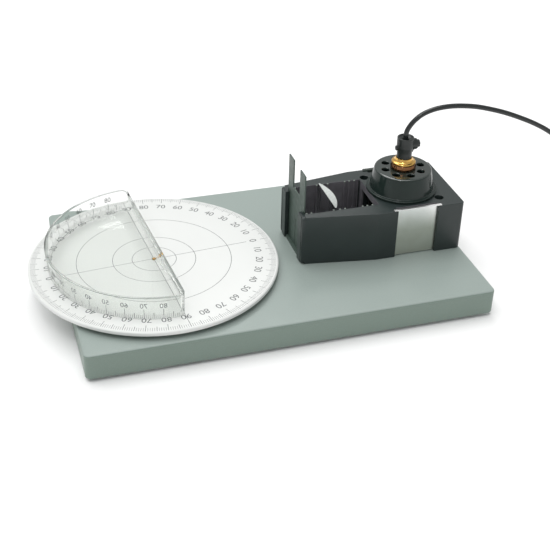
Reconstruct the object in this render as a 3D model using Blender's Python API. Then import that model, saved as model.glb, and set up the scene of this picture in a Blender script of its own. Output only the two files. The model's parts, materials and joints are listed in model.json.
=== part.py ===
"""Bench optics set: a protractor disc with a half-round trough, and a ray box, on one laminated board.

Lengths are in millimetres until a mesh is made. X runs along the board from the disc to the ray box,
Y runs across it to the back, and Z is up from the table that the rubber feet stand on.
"""

import math

import bmesh
import bpy
from mathutils import Matrix, Vector

MM = 0.001
GAP = 0.3  # clearance between pieces that touch

# Board and feet
BOARD_LENGTH, BOARD_WIDTH, BOARD_THICK = 407.0, 261.0, 27.0
FOOT_HEIGHT, FOOT_RADIUS, FOOT_INSET = 2.5, 9.0, 20.0
BOARD_FOOT = FOOT_HEIGHT + GAP
BOARD_TOP = BOARD_FOOT + BOARD_THICK
DISC_RADIUS, DISC_THICK, DISC_RISE = 125.0, 4.5, 4.4
DISC_OVERHANG = 34.1  # how far the disc reaches past the board's end
BOARD_RIGHT = (BOARD_LENGTH + DISC_OVERHANG) / 2
BOARD_LEFT = BOARD_RIGHT - BOARD_LENGTH

# Turntable and trough
PIVOT_X = BOARD_LEFT - DISC_OVERHANG + DISC_RADIUS
DISC_TURN = math.radians(4.7)
DISC_FOOT = BOARD_TOP + DISC_RISE
STUD_RADIUS, STUD_PROUD = 2.0, 1.3
BUSH_RADIUS, RECESS_RADIUS, RECESS_DEPTH = 5.0, 11.0, 9.0
TROUGH_RADIUS, TROUGH_RIM_RADIUS, TROUGH_HEIGHT = 105.0, 106.8, 25.0
TROUGH_WALL, TROUGH_FACE, TROUGH_CORNER = 2.5, 1.0, 8.0

# Ray box, with X measured from the board's middle and Z from the board's top
MIDDLE_X = BOARD_RIGHT - BOARD_LENGTH / 2
BOX_FRONT, BOX_PLATE, BOX_TAPER_END, BOX_REAR = 31.0, 35.2, 108.1, 201.9
BOX_HALF_FRONT, BOX_HALF_REAR, BOX_HEIGHT = 35.4, 46.7, 54.2
BOX_FLOOR, BOX_LID = 3.0, 3.0
FLANGE_INNER, FLANGE_ROUND = 21.0, 4.5
LENS_HALL_HALF, LENS_HALL_REAR = 27.9, 115.1
RIB_PROUD, RIB_WIDE = 2.0, 2.0
RIBS = (37.3, 42.2, 65.9, 72.4, 78.1, 96.9, 102.0, 107.6)
PLATE_SLOT_HALF = 26.3
LAMP_HALL = (117.6, 199.4)
LAMP_HALL_HALF = 39.5
LIGHT_DOOR_HALF, LIGHT_DOOR_TOP = 20.0, 46.0
WINDOW = (129.3, 173.2)
SHUTTER_X = (125.0, 176.5)
SHUTTER_FACE, SHUTTER_THICK, SHUTTER_LIP = 43.8, 0.9, 48.0
LAMP_X = 150.8
WELL_OFFSET, WELL_RADIUS, WELL_DEPTH, POST_RADIUS = 29.8, 4.65, 24.0, 7.0

# Slit plate and lens
SLIT_X, SLIT_THICK, SLIT_HALF, SLIT_TOP = 35.5, 1.4, 26.0, 95.2
NOTCH_HALF, NOTCH_FOOT, SLIT_GAP_HALF, SLIT_GAP_TOP = 10.3, 65.0, 0.5, 33.0
LENS_X, LENS_HALF, LENS_EDGE, LENS_DEPTH, LENS_TOP = 68.5, 26.5, 1.5, 8.1, 56.2

# Lamp housing, with Z from the board's top
CAP_FOOT = BOX_HEIGHT + GAP
CAP_TOP = 78.0
CAP_FLANGE, CAP_LOW, CAP_HIGH, CAP_SPIGOT = 36.8, 33.5, 29.4, 30.5
VENT_COUNT, VENT_CIRCLE, VENT_RADIUS = 8, 19.5, 4.0
VENT_PHASE = math.radians(1.6)
SHELL_OUTER, SHELL_INNER, SHELL_FOOT, SHELL_TOP = 9.3, 8.3, 50.0, 85.6
PLUNGER_OFFSET, PLUNGER_RADIUS, PLUNGER_FOOT = 3.5, 1.2, 66.6
GRIP_NECK, GRIP_RADIUS, GRIP_FOOT, GRIP_TOP = 7.7, 8.6, SHELL_TOP + GAP, 112.2
GRIP_MOUTH, GRIP_MOUTH_FOOT = 6.4, 108.0
BOSS_Z, BOSS_RADIUS, BOSS_REACH, CLAMP_REACH = 103.6, 5.7, 13.0, 15.4

# Lead, from the grip to the coil and on to the plug
CORD_RADIUS = 2.6
COIL_X, COIL_Y, COIL_INNER, COIL_OUTER = 446.0, 20.0, 22.8, 33.2
COIL_FOOT, COIL_TOP = 1.2, 16.8
COIL_LAY = COIL_OUTER - CORD_RADIUS
CORD_START = BOARD_TOP + GRIP_MOUTH_FOOT + GAP
LEAD_ROUTE = (
    (167.85, 0.0, CORD_START),
    (168.1, 0.0, 147.0),
    (171.3, 0.0, 153.9),
    (177.0, 0.0, 160.3),
    (184.8, 0.0, 165.6),
    (197.1, 0.0, 169.4),
    (212.0, 0.0, 170.6),
    (228.3, 0.0, 169.4),
    (246.7, 0.0, 166.0),
    (270.9, 0.0, 158.6),
    (291.0, 0.0, 150.6),
    (313.4, 0.0, 140.0),
    (332.3, 0.0, 128.8),
    (349.0, 0.0, 115.8),
    (362.8, -0.3, 100.0),
    (373.6, -1.2, 81.5),
    (382.2, -2.8, 61.0),
    (390.4, -4.9, 39.8),
    (399.6, -7.2, 20.4),
    (411.6, -9.4, 7.2),
    (COIL_X - 18.6, COIL_Y - COIL_LAY, CORD_RADIUS + 0.1),
)
TAIL_ROUTE = (
    (COIL_X + COIL_LAY, COIL_Y + 18.6, 14.0),
    (COIL_X + COIL_LAY + 0.2, COIL_Y + 28.0, 13.0),
    (COIL_X + COIL_LAY + 0.1, COIL_Y + 38.0, 9.8),
    (COIL_X + COIL_LAY, COIL_Y + 47.0, 7.6),
    (COIL_X + COIL_LAY, COIL_Y + 55.0, 7.0),
)
PLUG_Y = COIL_Y + 55.0 + GAP
PLUG_X, PLUG_Z = COIL_X + COIL_LAY, 7.0
PLUG_NECK, PLUG_LENGTH, PLUG_HALF, PLUG_THICK = 12.0, 26.0, 15.5, 13.6
PIN_SPACING, PIN_RADIUS, PIN_LENGTH = 19.0, 2.0, 17.0


def clear_scene():
    for obj in list(bpy.data.objects):
        bpy.data.objects.remove(obj, do_unlink=True)


def material(name, colour, roughness, metallic=0.0, transmission=0.0):
    made = bpy.data.materials.new(name)
    made.use_nodes = True
    shader = made.node_tree.nodes["Principled BSDF"]
    shader.inputs["Base Color"].default_value = (*colour, 1.0)
    shader.inputs["Roughness"].default_value = roughness
    shader.inputs["Metallic"].default_value = metallic
    shader.inputs["Transmission Weight"].default_value = transmission
    return made


def axis_point(name, at):
    """An empty that holds the pieces of one assembly."""
    point = bpy.data.objects.new(name, None)
    point.location = Vector(at) * MM
    bpy.context.collection.objects.link(point)
    return point


def piece(name, bm, mat=None, holder=None, at=(0.0, 0.0, 0.0)):
    """Turns a bmesh in millimetres into a named object under its holder."""
    bmesh.ops.scale(bm, vec=(MM, MM, MM), verts=bm.verts)
    bmesh.ops.recalc_face_normals(bm, faces=bm.faces)
    mesh = bpy.data.meshes.new(name)
    bm.to_mesh(mesh)
    bm.free()
    mesh.shade_smooth()
    mesh.set_sharp_from_angle(angle=math.radians(35))
    obj = bpy.data.objects.new(name, mesh)
    obj.location = Vector(at) * MM
    obj.parent = holder
    if mat:
        mesh.materials.append(mat)
    bpy.context.collection.objects.link(obj)
    return obj


def boolean(target, operation, bm, at, solver):
    """Cuts or joins a hidden helper shape, placed in the target's own space."""
    name = f"{target.name}_{operation.lower()}_{len(target.modifiers) + 1}"
    helper = piece(name, bm, holder=target, at=at)
    helper.hide_render = True
    helper.display_type = "WIRE"
    modifier = target.modifiers.new(helper.name, "BOOLEAN")
    modifier.operation = operation
    modifier.solver = solver
    modifier.object = helper


def cut(target, bm, at=(0.0, 0.0, 0.0), solver="EXACT"):
    boolean(target, "DIFFERENCE", bm, at, solver)


def join(target, bm, at=(0.0, 0.0, 0.0)):
    boolean(target, "UNION", bm, at, "EXACT")


def prism(outline, low, high):
    """An outline in XY made solid between two heights."""
    bm = bmesh.new()
    face = bm.faces.new([bm.verts.new((x, y, low)) for x, y in outline])
    raised = bmesh.ops.extrude_face_region(bm, geom=[face])["geom"]
    top = [part for part in raised if isinstance(part, bmesh.types.BMVert)]
    bmesh.ops.translate(bm, vec=(0.0, 0.0, high - low), verts=top)
    return bm


def block(x, y, z):
    """A box from pairs of limits."""
    return prism(((x[0], y[0]), (x[1], y[0]), (x[1], y[1]), (x[0], y[1])), *z)


def turned(profile, sides, closed=False):
    """A profile of (radius, height) pairs spun round Z. A closed profile makes a ring."""
    bm = bmesh.new()
    points = [bm.verts.new((radius, 0.0, height)) for radius, height in profile]
    links = [bm.edges.new(pair) for pair in zip(points, points[1:])]
    if closed:
        links.append(bm.edges.new((points[-1], points[0])))
    bmesh.ops.spin(
        bm,
        geom=points + links,
        cent=(0.0, 0.0, 0.0),
        axis=(0.0, 0.0, 1.0),
        angle=2 * math.pi,
        steps=sides,
        use_merge=True,
    )
    bmesh.ops.remove_doubles(bm, verts=bm.verts, dist=0.001)
    return bm


def cylinder(radius, low, high, sides=24):
    return turned(((0.0, low), (radius, low), (radius, high), (0.0, high)), sides)


def ring(inner, outer, low, high, sides=32):
    return turned(((inner, low), (outer, low), (outer, high), (inner, high)), sides, closed=True)


def tilted(bm, angle, axis):
    bmesh.ops.rotate(bm, cent=(0.0, 0.0, 0.0), matrix=Matrix.Rotation(angle, 3, axis), verts=bm.verts)
    return bm


def along_x(bm):
    """Turns a shape made along Z so that it runs along +X, its own X going down."""
    return tilted(bm, math.pi / 2, "Y")


def across(outline, low, high):
    """An outline of (y, z) pairs made solid between two X places."""
    bm = prism(outline, low, high)
    turn = Matrix(((0, 0, 1), (1, 0, 0), (0, 1, 0)))
    bmesh.ops.transform(bm, matrix=turn.to_4x4(), verts=bm.verts)
    return bm


def softened(bm, width, segments, chosen):
    """Rounds the edges that the test picks out."""
    edges = [edge for edge in bm.edges if chosen(*(vert.co for vert in edge.verts))]
    bmesh.ops.bevel(bm, geom=edges, offset=width, segments=segments, profile=0.5, affect="EDGES")
    return bm


def arc(centre, radius, start, end, steps):
    """Points on an arc, with its angles in degrees."""
    angles = [math.radians(start + (end - start) * step / steps) for step in range(steps + 1)]
    return [(centre[0] + radius * math.cos(a), centre[1] + radius * math.sin(a)) for a in angles]


def rounded_box(x, y, radius, steps=4):
    corners = (
        ((x[1] - radius, y[1] - radius), 0),
        ((x[0] + radius, y[1] - radius), 90),
        ((x[0] + radius, y[0] + radius), 180),
        ((x[1] - radius, y[0] + radius), 270),
    )
    return [point for centre, start in corners for point in arc(centre, radius, start, start + 90, steps)]


def smooth_route(route, spacing):
    """Points at an even spacing on the smooth curve through a route."""
    knots = [Vector(point) for point in route]
    knots = [2 * knots[0] - knots[1]] + knots + [2 * knots[-1] - knots[-2]]
    fine = []
    for before, start, end, after in zip(knots, knots[1:], knots[2:], knots[3:]):
        for step in range(12):
            t = step / 12
            bend = (2 * before - 5 * start + 4 * end - after) * t**2
            twist = (3 * start - before - 3 * end + after) * t**3
            fine.append(0.5 * (2 * start + (end - before) * t + bend + twist))
    fine.append(knots[-2])
    total = sum((b - a).length for a, b in zip(fine, fine[1:]))
    wanted = total / max(round(total / spacing), 1)
    points = [fine[0]]
    walked = 0.0
    for a, b in zip(fine, fine[1:]):
        walked += (b - a).length
        if walked >= wanted * len(points) - 1e-6:
            points.append(b)
    points[-1] = fine[-1]
    return points


def tube(name, points, radius, mat, holder=None, resolution=2):
    """A round wire or lead along a line of points."""
    curve = bpy.data.curves.new(name, "CURVE")
    curve.dimensions = "3D"
    curve.bevel_depth = radius * MM
    curve.bevel_resolution = resolution
    curve.use_fill_caps = True
    spline = curve.splines.new("POLY")
    spline.points.add(len(points) - 1)
    for place, point in zip(spline.points, points):
        place.co = (*(Vector(point) * MM), 1.0)
    curve.materials.append(mat)
    obj = bpy.data.objects.new(name, curve)
    obj.parent = holder
    bpy.context.collection.objects.link(obj)


def make_board(mat):
    outline = rounded_box((BOARD_LEFT, BOARD_RIGHT), (-BOARD_WIDTH / 2, BOARD_WIDTH / 2), 5.5)
    solid = prism(outline, BOARD_FOOT, BOARD_TOP)
    softened(solid, 1.8, 2, lambda a, b: abs(a.z - b.z) < 0.01)
    board = piece("base_board", solid, mat)
    cut(board, cylinder(BUSH_RADIUS + GAP, -1.0, BOARD_THICK + 1.0), (PIVOT_X, 0.0, BOARD_FOOT))
    cut(board, cylinder(RECESS_RADIUS, -1.0, RECESS_DEPTH), (PIVOT_X, 0.0, BOARD_FOOT))
    for x, y in foot_places():
        cut(board, cylinder(2.1, -1.0, 12.0, 16), (x, y, BOARD_FOOT), "MANIFOLD")
    for x, y in well_places():
        cut(board, cylinder(2.1, -14.0, 1.0, 16), (x, y, BOARD_TOP), "MANIFOLD")


def foot_places():
    reach_y = BOARD_WIDTH / 2 - FOOT_INSET
    ends = (BOARD_LEFT + FOOT_INSET, BOARD_RIGHT - FOOT_INSET)
    return [(x, y) for x in ends for y in (-reach_y, reach_y)]


def well_places():
    return [(MIDDLE_X + LAMP_X + way * WELL_OFFSET, -way * WELL_OFFSET) for way in (-1, 1)]


def make_feet(rubber, steel):
    foot_profile = (
        (2.1, 1.5), (4.4, 1.5), (4.4, 0.0), (FOOT_RADIUS - 0.7, 0.0), (FOOT_RADIUS, 0.9),
        (FOOT_RADIUS, FOOT_HEIGHT), (2.1, FOOT_HEIGHT),
    )
    screw_profile = ((0.0, 0.4), (3.3, 0.4), (3.8, 1.2), (1.8, 1.2), (1.8, 12.5), (0.0, 14.3))
    for number, (x, y) in enumerate(foot_places(), 1):
        piece(f"rubber_foot_{number}", turned(foot_profile, 16, closed=True), rubber, at=(x, y, 0.0))
        screw = piece(f"foot_screw_{number}", turned(screw_profile, 12), steel, at=(x, y, 0.0))
        cut(screw, block((-3.0, 3.0), (-0.35, 0.35), (0.0, 0.8)))


def make_turntable(brass, white):
    turntable = axis_point("turntable_axis", (PIVOT_X, 0.0, DISC_FOOT))
    turntable.rotation_euler.z = DISC_TURN
    hole = STUD_RADIUS + GAP
    disc_profile = (
        (hole, 0.0), (DISC_RADIUS - 0.6, 0.0), (DISC_RADIUS, 0.6), (DISC_RADIUS, DISC_THICK - 0.8),
        (DISC_RADIUS - 1.0, DISC_THICK), (hole, DISC_THICK),
    )
    piece("protractor_disc", turned(disc_profile, 96, closed=True), white, turntable)
    top = DISC_THICK + STUD_PROUD
    stud_foot = BOARD_FOOT + 1.6 - DISC_FOOT
    stud_profile = (
        (0.0, stud_foot), (STUD_RADIUS, stud_foot), (STUD_RADIUS, top - 0.6),
        (STUD_RADIUS - 0.6, top), (0.0, top),
    )
    piece("pivot_stud", turned(stud_profile, 24), brass, turntable)
    piece("pivot_spacer", ring(hole, 9.0, GAP - DISC_RISE, -GAP, 32), brass, turntable)
    nut_foot = BOARD_FOOT + 3.0 - DISC_FOOT
    nut = piece("pivot_nut", cylinder(6.4, nut_foot, nut_foot + 5.0, 6), brass, turntable)
    cut(nut, cylinder(hole, nut_foot - 1.0, nut_foot + 6.0, 24))
    bush_foot = BOARD_FOOT + RECESS_DEPTH + GAP
    piece("pivot_bush", ring(hole, BUSH_RADIUS, bush_foot, BOARD_TOP, 32), brass, at=(PIVOT_X, 0.0, 0.0))
    return turntable


def trough_outline(radius, face, corner):
    """Half a circle to the left, closed by a flat face, with two round corners."""
    across_x = face - corner
    across_y = math.sqrt((radius - corner) ** 2 - across_x**2)
    meet = math.degrees(math.atan2(across_y, across_x))
    upper = arc((across_x, across_y), corner, 0.0, meet, 6)
    round_side = arc((0.0, 0.0), radius, meet, 360.0 - meet, 56)[1:-1]
    lower = arc((across_x, -across_y), corner, -meet, 0.0, 6)
    return upper + round_side + lower


def make_trough(clear, turntable):
    def flared(bm, high):
        scale = TROUGH_RIM_RADIUS / TROUGH_RADIUS
        rim = [vert for vert in bm.verts if vert.co.z > high - 0.1]
        bmesh.ops.scale(bm, vec=(scale, scale, 1.0), verts=rim)
        return bm

    outer = trough_outline(TROUGH_RADIUS, TROUGH_FACE, TROUGH_CORNER)
    inner_radius = TROUGH_RADIUS - TROUGH_WALL
    inner = trough_outline(inner_radius, TROUGH_FACE - TROUGH_WALL, TROUGH_CORNER - TROUGH_WALL)
    solid = flared(prism(outer, 0.0, TROUGH_HEIGHT), TROUGH_HEIGHT)
    trough = piece("refraction_trough", solid, clear, turntable, (0.0, 0.0, DISC_THICK + GAP))
    hollow_top = TROUGH_HEIGHT + 0.5
    cut(trough, flared(prism(inner, TROUGH_WALL, hollow_top), hollow_top))
    cut(trough, cylinder(STUD_RADIUS + 0.6, -1.0, STUD_PROUD, 24))


def hall_outline():
    """The lens compartment seen from above, with its plate slot and guide ribs."""
    narrow = LENS_HALL_HALF - RIB_PROUD
    half = [(BOX_FRONT - 1.0, FLANGE_INNER), (BOX_PLATE, FLANGE_INNER), (BOX_PLATE, PLATE_SLOT_HALF)]
    half.append((RIBS[0], PLATE_SLOT_HALF))
    for index, rib in enumerate(RIBS):
        if index:
            half.append((rib, LENS_HALL_HALF))
        half += [(rib, narrow), (rib + RIB_WIDE, narrow), (rib + RIB_WIDE, LENS_HALL_HALF)]
    half.append((LENS_HALL_REAR, LENS_HALL_HALF))
    return half + [(x, -y) for x, y in reversed(half)]


def make_ray_box(mat, steel):
    rear = arc((BOX_REAR - 3.0, BOX_HALF_REAR - 3.0), 3.0, 90.0, 0.0, 4)
    half = [(BOX_PLATE - 0.8, BOX_HALF_FRONT), (BOX_TAPER_END, BOX_HALF_REAR)] + rear
    plan = half + [(x, -y) for x, y in reversed(half)]
    place = (MIDDLE_X, 0.0, BOARD_TOP)
    box = piece("ray_box_body", prism(plan, GAP, BOX_HEIGHT), mat, at=place)
    for side in (-1, 1):
        inner = side * (FLANGE_INNER - 1.0)
        corner = side * (BOX_HALF_FRONT - FLANGE_ROUND)
        low = arc((corner, GAP + FLANGE_ROUND), FLANGE_ROUND, -90.0, 0.0 if side > 0 else -180.0, 4)
        high = arc((corner, BOX_HEIGHT - FLANGE_ROUND), FLANGE_ROUND, 0.0 if side > 0 else 180.0, 90.0, 4)
        flange = across([(inner, GAP)] + low + high + [(inner, BOX_HEIGHT)], BOX_FRONT, BOX_PLATE - 0.3)
        softened(flange, 1.2, 2, lambda a, b: max(a.x, b.x) < BOX_FRONT + 0.1 and abs(a.y - inner) > 0.1)
        join(box, flange)
        groove = cylinder(0.8, -1.0, BOX_HEIGHT + 1.0, 12)
        cut(box, groove, (BOX_FRONT, side * 32.0, 0.0))
    cut(box, prism(hall_outline(), -1.0, BOX_HEIGHT + 1.0))
    cut_lamp_hall(box)
    cut_side_walls(box)
    for x, y in well_places():
        local = (x - MIDDLE_X, y, 0.0)
        join(box, cylinder(POST_RADIUS, GAP + 0.2, BOX_HEIGHT - 1.0, 24), local)
    for x, y in well_places():
        local = (x - MIDDLE_X, y, 0.0)
        cut(box, cylinder(WELL_RADIUS, BOX_HEIGHT - WELL_DEPTH, BOX_HEIGHT + 1.0, 24), local, "MANIFOLD")
        cut(box, cylinder(2.1, -1.0, BOX_HEIGHT, 16), local, "MANIFOLD")
    head = BOX_HEIGHT - WELL_DEPTH + GAP
    profile = (
        (0.0, -13.5), (1.8, -11.5), (1.8, head), (4.1, head), (4.1, head + 2.0), (3.4, head + 2.6),
        (0.0, head + 2.6),
    )
    for number, (x, y) in enumerate(well_places(), 1):
        screw = piece(f"box_screw_{number}", turned(profile, 24), steel, at=(x, y, BOARD_TOP))
        cut(screw, block((-5.0, 5.0), (-0.5, 0.5), (head + 1.4, head + 3.0)))


def make_box_floor(mat):
    """The plate under the lens and the slit plate, loose between the ribs and the flanges."""
    wide = LENS_HALL_HALF - RIB_PROUD - GAP
    narrow = FLANGE_INNER - GAP
    step, rear = BOX_PLATE + GAP, LENS_HALL_REAR - GAP
    half = ((BOX_FRONT + 1.6, narrow), (step, narrow), (step, wide), (rear, wide))
    outline = list(half) + [(x, -y) for x, y in reversed(half)]
    piece("box_floor", prism(outline, GAP, BOX_FLOOR), mat, at=(MIDDLE_X, 0.0, BOARD_TOP))


def cut_lamp_hall(box):
    half = LAMP_HALL_HALF
    cut(box, block(LAMP_HALL, (-half, half), (-1.0, BOX_HEIGHT - BOX_LID)))
    lid_foot = BOX_HEIGHT - BOX_LID
    cut(box, cylinder(CAP_SPIGOT + GAP, lid_foot - 1.0, BOX_HEIGHT + 1.0, 48), (LAMP_X, 0.0, 0.0))
    door = (LENS_HALL_REAR - 1.0, LAMP_HALL[0] + 1.0)
    cut(box, block(door, (-LIGHT_DOOR_HALF, LIGHT_DOOR_HALF), (BOX_FLOOR + 4.0, LIGHT_DOOR_TOP)))


def cut_side_walls(box):
    """Shutter slots and side windows."""
    slot_x = (SHUTTER_X[0] - GAP, SHUTTER_X[1] + GAP)
    through = (-1.0, BOX_HEIGHT + 1.0)
    back = SHUTTER_FACE - SHUTTER_THICK - GAP
    for side in (-1, 1):
        def across_y(a, b):
            return sorted((side * a, side * b))

        cut(box, block(slot_x, across_y(back, SHUTTER_FACE + GAP), through))
        cut(box, block(WINDOW, across_y(LAMP_HALL_HALF - 0.1, back + 0.1), through))
        cut(box, block(WINDOW, across_y(SHUTTER_FACE, BOX_HALF_REAR + 1.0), through))


def make_shutters(near_mat, far_mat):
    back, front = SHUTTER_FACE - SHUTTER_THICK, SHUTTER_FACE
    lip_low, lip_high = BOX_HEIGHT + GAP, BOX_HEIGHT + GAP + SHUTTER_THICK
    section = (
        (back, 1.0), (front, 1.0), (front, lip_low), (SHUTTER_LIP, lip_low), (SHUTTER_LIP, lip_high),
        (back, lip_high),
    )
    for name, side, mat in (("side_shutter_near", -1, near_mat), ("side_shutter_far", 1, far_mat)):
        outline = [(side * y, z) for y, z in section]
        piece(name, across(outline, *SHUTTER_X), mat, at=(MIDDLE_X, 0.0, BOARD_TOP))


def make_slit_plate(mat):
    foot = BOX_FLOOR + GAP
    half = (
        (SLIT_GAP_HALF, SLIT_GAP_TOP), (SLIT_GAP_HALF, foot), (SLIT_HALF, foot), (SLIT_HALF, SLIT_TOP),
        (NOTCH_HALF, SLIT_TOP), (NOTCH_HALF, NOTCH_FOOT),
    )
    outline = list(half) + [(-y, z) for y, z in reversed(half)]
    piece("slit_plate", across(outline, SLIT_X, SLIT_X + SLIT_THICK), mat, at=(MIDDLE_X, 0.0, BOARD_TOP))


def make_lens(glass):
    depth = LENS_DEPTH - LENS_EDGE
    radius = (LENS_HALF**2 + depth**2) / (2 * depth)
    reach = math.degrees(math.asin(LENS_HALF / radius))
    curved = arc((LENS_X + LENS_DEPTH - radius, 0.0), radius, -reach, reach, 32)
    outline = [(LENS_X, LENS_HALF), (LENS_X, -LENS_HALF)] + curved
    solid = prism(outline, BOX_FLOOR + GAP, LENS_TOP)
    piece("cylindrical_lens", solid, glass, at=(MIDDLE_X, 0.0, BOARD_TOP))


def make_lamp_house(black, brass, grip_black, insulator, glass, tungsten):
    house = axis_point("lamp_axis", (MIDDLE_X + LAMP_X, 0.0, BOARD_TOP))
    hole = SHELL_OUTER + 0.4
    cap_profile = (
        (CAP_SPIGOT, 49.0), (CAP_SPIGOT, CAP_FOOT), (CAP_FLANGE, CAP_FOOT), (CAP_FLANGE, CAP_FOOT + 1.9),
        (CAP_FLANGE - 0.6, CAP_FOOT + 2.5), (CAP_LOW, CAP_FOOT + 2.5), (CAP_HIGH, CAP_TOP - 1.2),
        (CAP_HIGH - 1.2, CAP_TOP), (hole, CAP_TOP), (hole, CAP_TOP - 2.4), (27.2, CAP_TOP - 2.4),
        (30.8, CAP_FOOT + 4.0), (28.3, CAP_FOOT + 2.0), (28.3, 49.0),
    )
    cap = piece("lamp_cap", turned(cap_profile, 48, closed=True), black, house)
    for index in range(VENT_COUNT):
        angle = VENT_PHASE + 2 * math.pi * index / VENT_COUNT
        place = (VENT_CIRCLE * math.cos(angle), VENT_CIRCLE * math.sin(angle), 0.0)
        cut(cap, cylinder(VENT_RADIUS, CAP_TOP - 4.0, CAP_TOP + 1.0, 16), place)
    lower = (
        (hole, 78.3), (12.7, 78.3), (13.1, 78.8), (13.1, 80.6), (12.7, 82.4), (12.5, 83.5), (12.2, 83.9),
        (hole, 83.9),
    )
    lip = GRIP_NECK + GAP
    upper = (
        (hole, 84.2), (12.1, 84.2), (12.3, 84.5), (12.3, 85.5), (11.9, 86.0), (10.4, 86.6), (9.4, 87.7),
        (8.8, 89.0), (8.6, 90.0), (lip, 90.0), (lip, GRIP_FOOT), (hole, GRIP_FOOT),
    )
    piece("shade_ring_lower", turned(lower, 32, closed=True), brass, house)
    piece("shade_ring_upper", turned(upper, 32, closed=True), brass, house)
    piece("lampholder_shell", ring(SHELL_INNER, SHELL_OUTER, SHELL_FOOT, SHELL_TOP), brass, house)
    core_foot = PLUNGER_FOOT + 1.4
    core = piece("lampholder_core", cylinder(SHELL_INNER - GAP, core_foot, SHELL_TOP, 32), insulator, house)
    for number, way in enumerate((-1, 1), 1):
        place = (way * PLUNGER_OFFSET, 0.0, 0.0)
        cut(core, cylinder(PLUNGER_RADIUS + GAP, core_foot - 1.0, core_foot + 12.0, 16), place)
        pin = cylinder(PLUNGER_RADIUS, PLUNGER_FOOT, core_foot + 9.0, 16)
        piece(f"contact_plunger_{number}", pin, brass, house, place)
    make_bulb(house, brass, glass, tungsten)
    make_grip(house, grip_black)


def make_bulb(house, brass, glass, tungsten):
    cap_top = PLUNGER_FOOT - GAP
    cap_profile = ((0.0, 50.0), (7.5, 50.0), (7.5, 65.0), (6.6, cap_top), (0.0, cap_top))
    piece("bulb_cap", turned(cap_profile, 24), brass, house)
    bulb_z, bulb_radius, neck, wall = 30.0, 12.5, 6.6, 0.8
    spread = math.degrees(math.asin(neck / bulb_radius))
    outer = [(bulb_radius, a) for a in range(-90, round(90 - spread), 18)]
    outer = [(r * math.cos(math.radians(a)), bulb_z + r * math.sin(math.radians(a))) for r, a in outer]
    shrink = 1 - wall / bulb_radius
    inner = [(r * shrink, bulb_z + (z - bulb_z) * shrink) for r, z in outer]
    outer[0], inner[0] = (0.0, outer[0][1]), (0.0, inner[0][1])
    profile = outer + [(neck, 43.5), (neck, 49.7), (neck - wall, 49.7), (neck - wall, 43.0)] + inner[::-1]
    piece("bulb_glass", turned(profile, 16), glass, house)
    wire = (
        (-3.0, 0.0, 49.2), (-3.0, 0.0, 38.0), (-2.2, 0.0, 36.0), (-0.6, 0.0, 34.6), (0.0, 0.0, 33.0),
        (0.0, 0.0, 25.0), (0.6, 0.0, 23.2), (1.8, 0.0, 22.4), (2.8, 0.0, 23.4), (3.0, 0.0, 25.5),
        (3.0, 0.0, 49.2),
    )
    tube("bulb_filament", wire, 0.35, tungsten, house, resolution=1)


def make_grip(house, grip_black):
    radius = GRIP_RADIUS
    profile = (
        (0.0, GRIP_FOOT), (GRIP_NECK, GRIP_FOOT), (GRIP_NECK, 96.0), (8.1, 99.0), (radius, 101.5),
        (radius, GRIP_TOP - 0.5), (radius - 0.5, GRIP_TOP), (7.3, GRIP_TOP), (GRIP_MOUTH, GRIP_TOP - 1.0),
        (3.8, GRIP_TOP - 2.0), (3.2, GRIP_TOP - 2.6), (3.2, GRIP_MOUTH_FOOT), (0.0, GRIP_MOUTH_FOOT),
    )
    grip = piece("cord_grip", turned(profile, 32), grip_black, house)
    join(grip, along_x(cylinder(BOSS_RADIUS, radius - 2.0, BOSS_REACH, 24)), (0.0, 0.0, BOSS_Z))
    join(grip, along_x(cylinder(2.6, -radius - 1.8, -radius + 2.0, 16)), (0.0, 0.0, 101.0))
    web = ((6.0, BOSS_Z), (9.9, BOSS_Z), (9.9, BOSS_Z - 5.2), (8.7, 96.6), (7.2, 94.2), (6.0, 93.6))
    join(grip, tilted(prism(web, -2.4, 2.4), math.pi / 2, "X"))
    cut(grip, along_x(cylinder(1.9, radius - 3.0, BOSS_REACH + 1.0, 16)), (0.0, 0.0, BOSS_Z))
    start = BOSS_REACH + GAP
    screw_profile = (
        (0.0, radius - 2.6), (1.6, radius - 2.6), (1.6, start), (3.9, start), (3.9, CLAMP_REACH - 0.5),
        (3.4, CLAMP_REACH), (0.0, CLAMP_REACH),
    )
    screw = piece("clamp_screw", along_x(turned(screw_profile, 20)), grip_black, house, (0.0, 0.0, BOSS_Z))
    cut(screw, block((CLAMP_REACH - 1.0, CLAMP_REACH + 1.0), (-0.5, 0.5), (-6.0, 6.0)))


def make_lead(mat, tie_mat, plug_mat, brass):
    tube("cord_lead", smooth_route(LEAD_ROUTE, 5.0 * CORD_RADIUS), CORD_RADIUS, mat)
    tube("cord_tail", smooth_route(TAIL_ROUTE, 4.0 * CORD_RADIUS), CORD_RADIUS, mat)
    soft = 2.2
    coil = (
        (COIL_INNER, COIL_FOOT + soft), (COIL_INNER + soft, COIL_FOOT), (COIL_OUTER - soft, COIL_FOOT),
        (COIL_OUTER, COIL_FOOT + soft), (COIL_OUTER, COIL_TOP - soft), (COIL_OUTER - soft, COIL_TOP),
        (COIL_INNER + soft, COIL_TOP), (COIL_INNER, COIL_TOP - soft),
    )
    piece("cord_coil", turned(coil, 32, closed=True), mat, at=(COIL_X, COIL_Y, 0.0))
    strap = 0.8
    middle = (COIL_INNER + COIL_OUTER) / 2
    half_w = (COIL_OUTER - COIL_INNER) / 2 + GAP + 0.6
    low, high = COIL_FOOT - GAP, COIL_TOP + GAP
    outline = rounded_box((-half_w - strap, half_w + strap), (low - strap, high + strap), 2.0)
    band = across(outline, -4.0, 4.0)
    tie = piece("cord_tie", band, tie_mat, at=(COIL_X, COIL_Y + middle, 0.0))
    cut(tie, across(rounded_box((-half_w, half_w), (low, high), 1.2), -6.0, 6.0))
    make_plug(plug_mat, brass)


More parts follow.
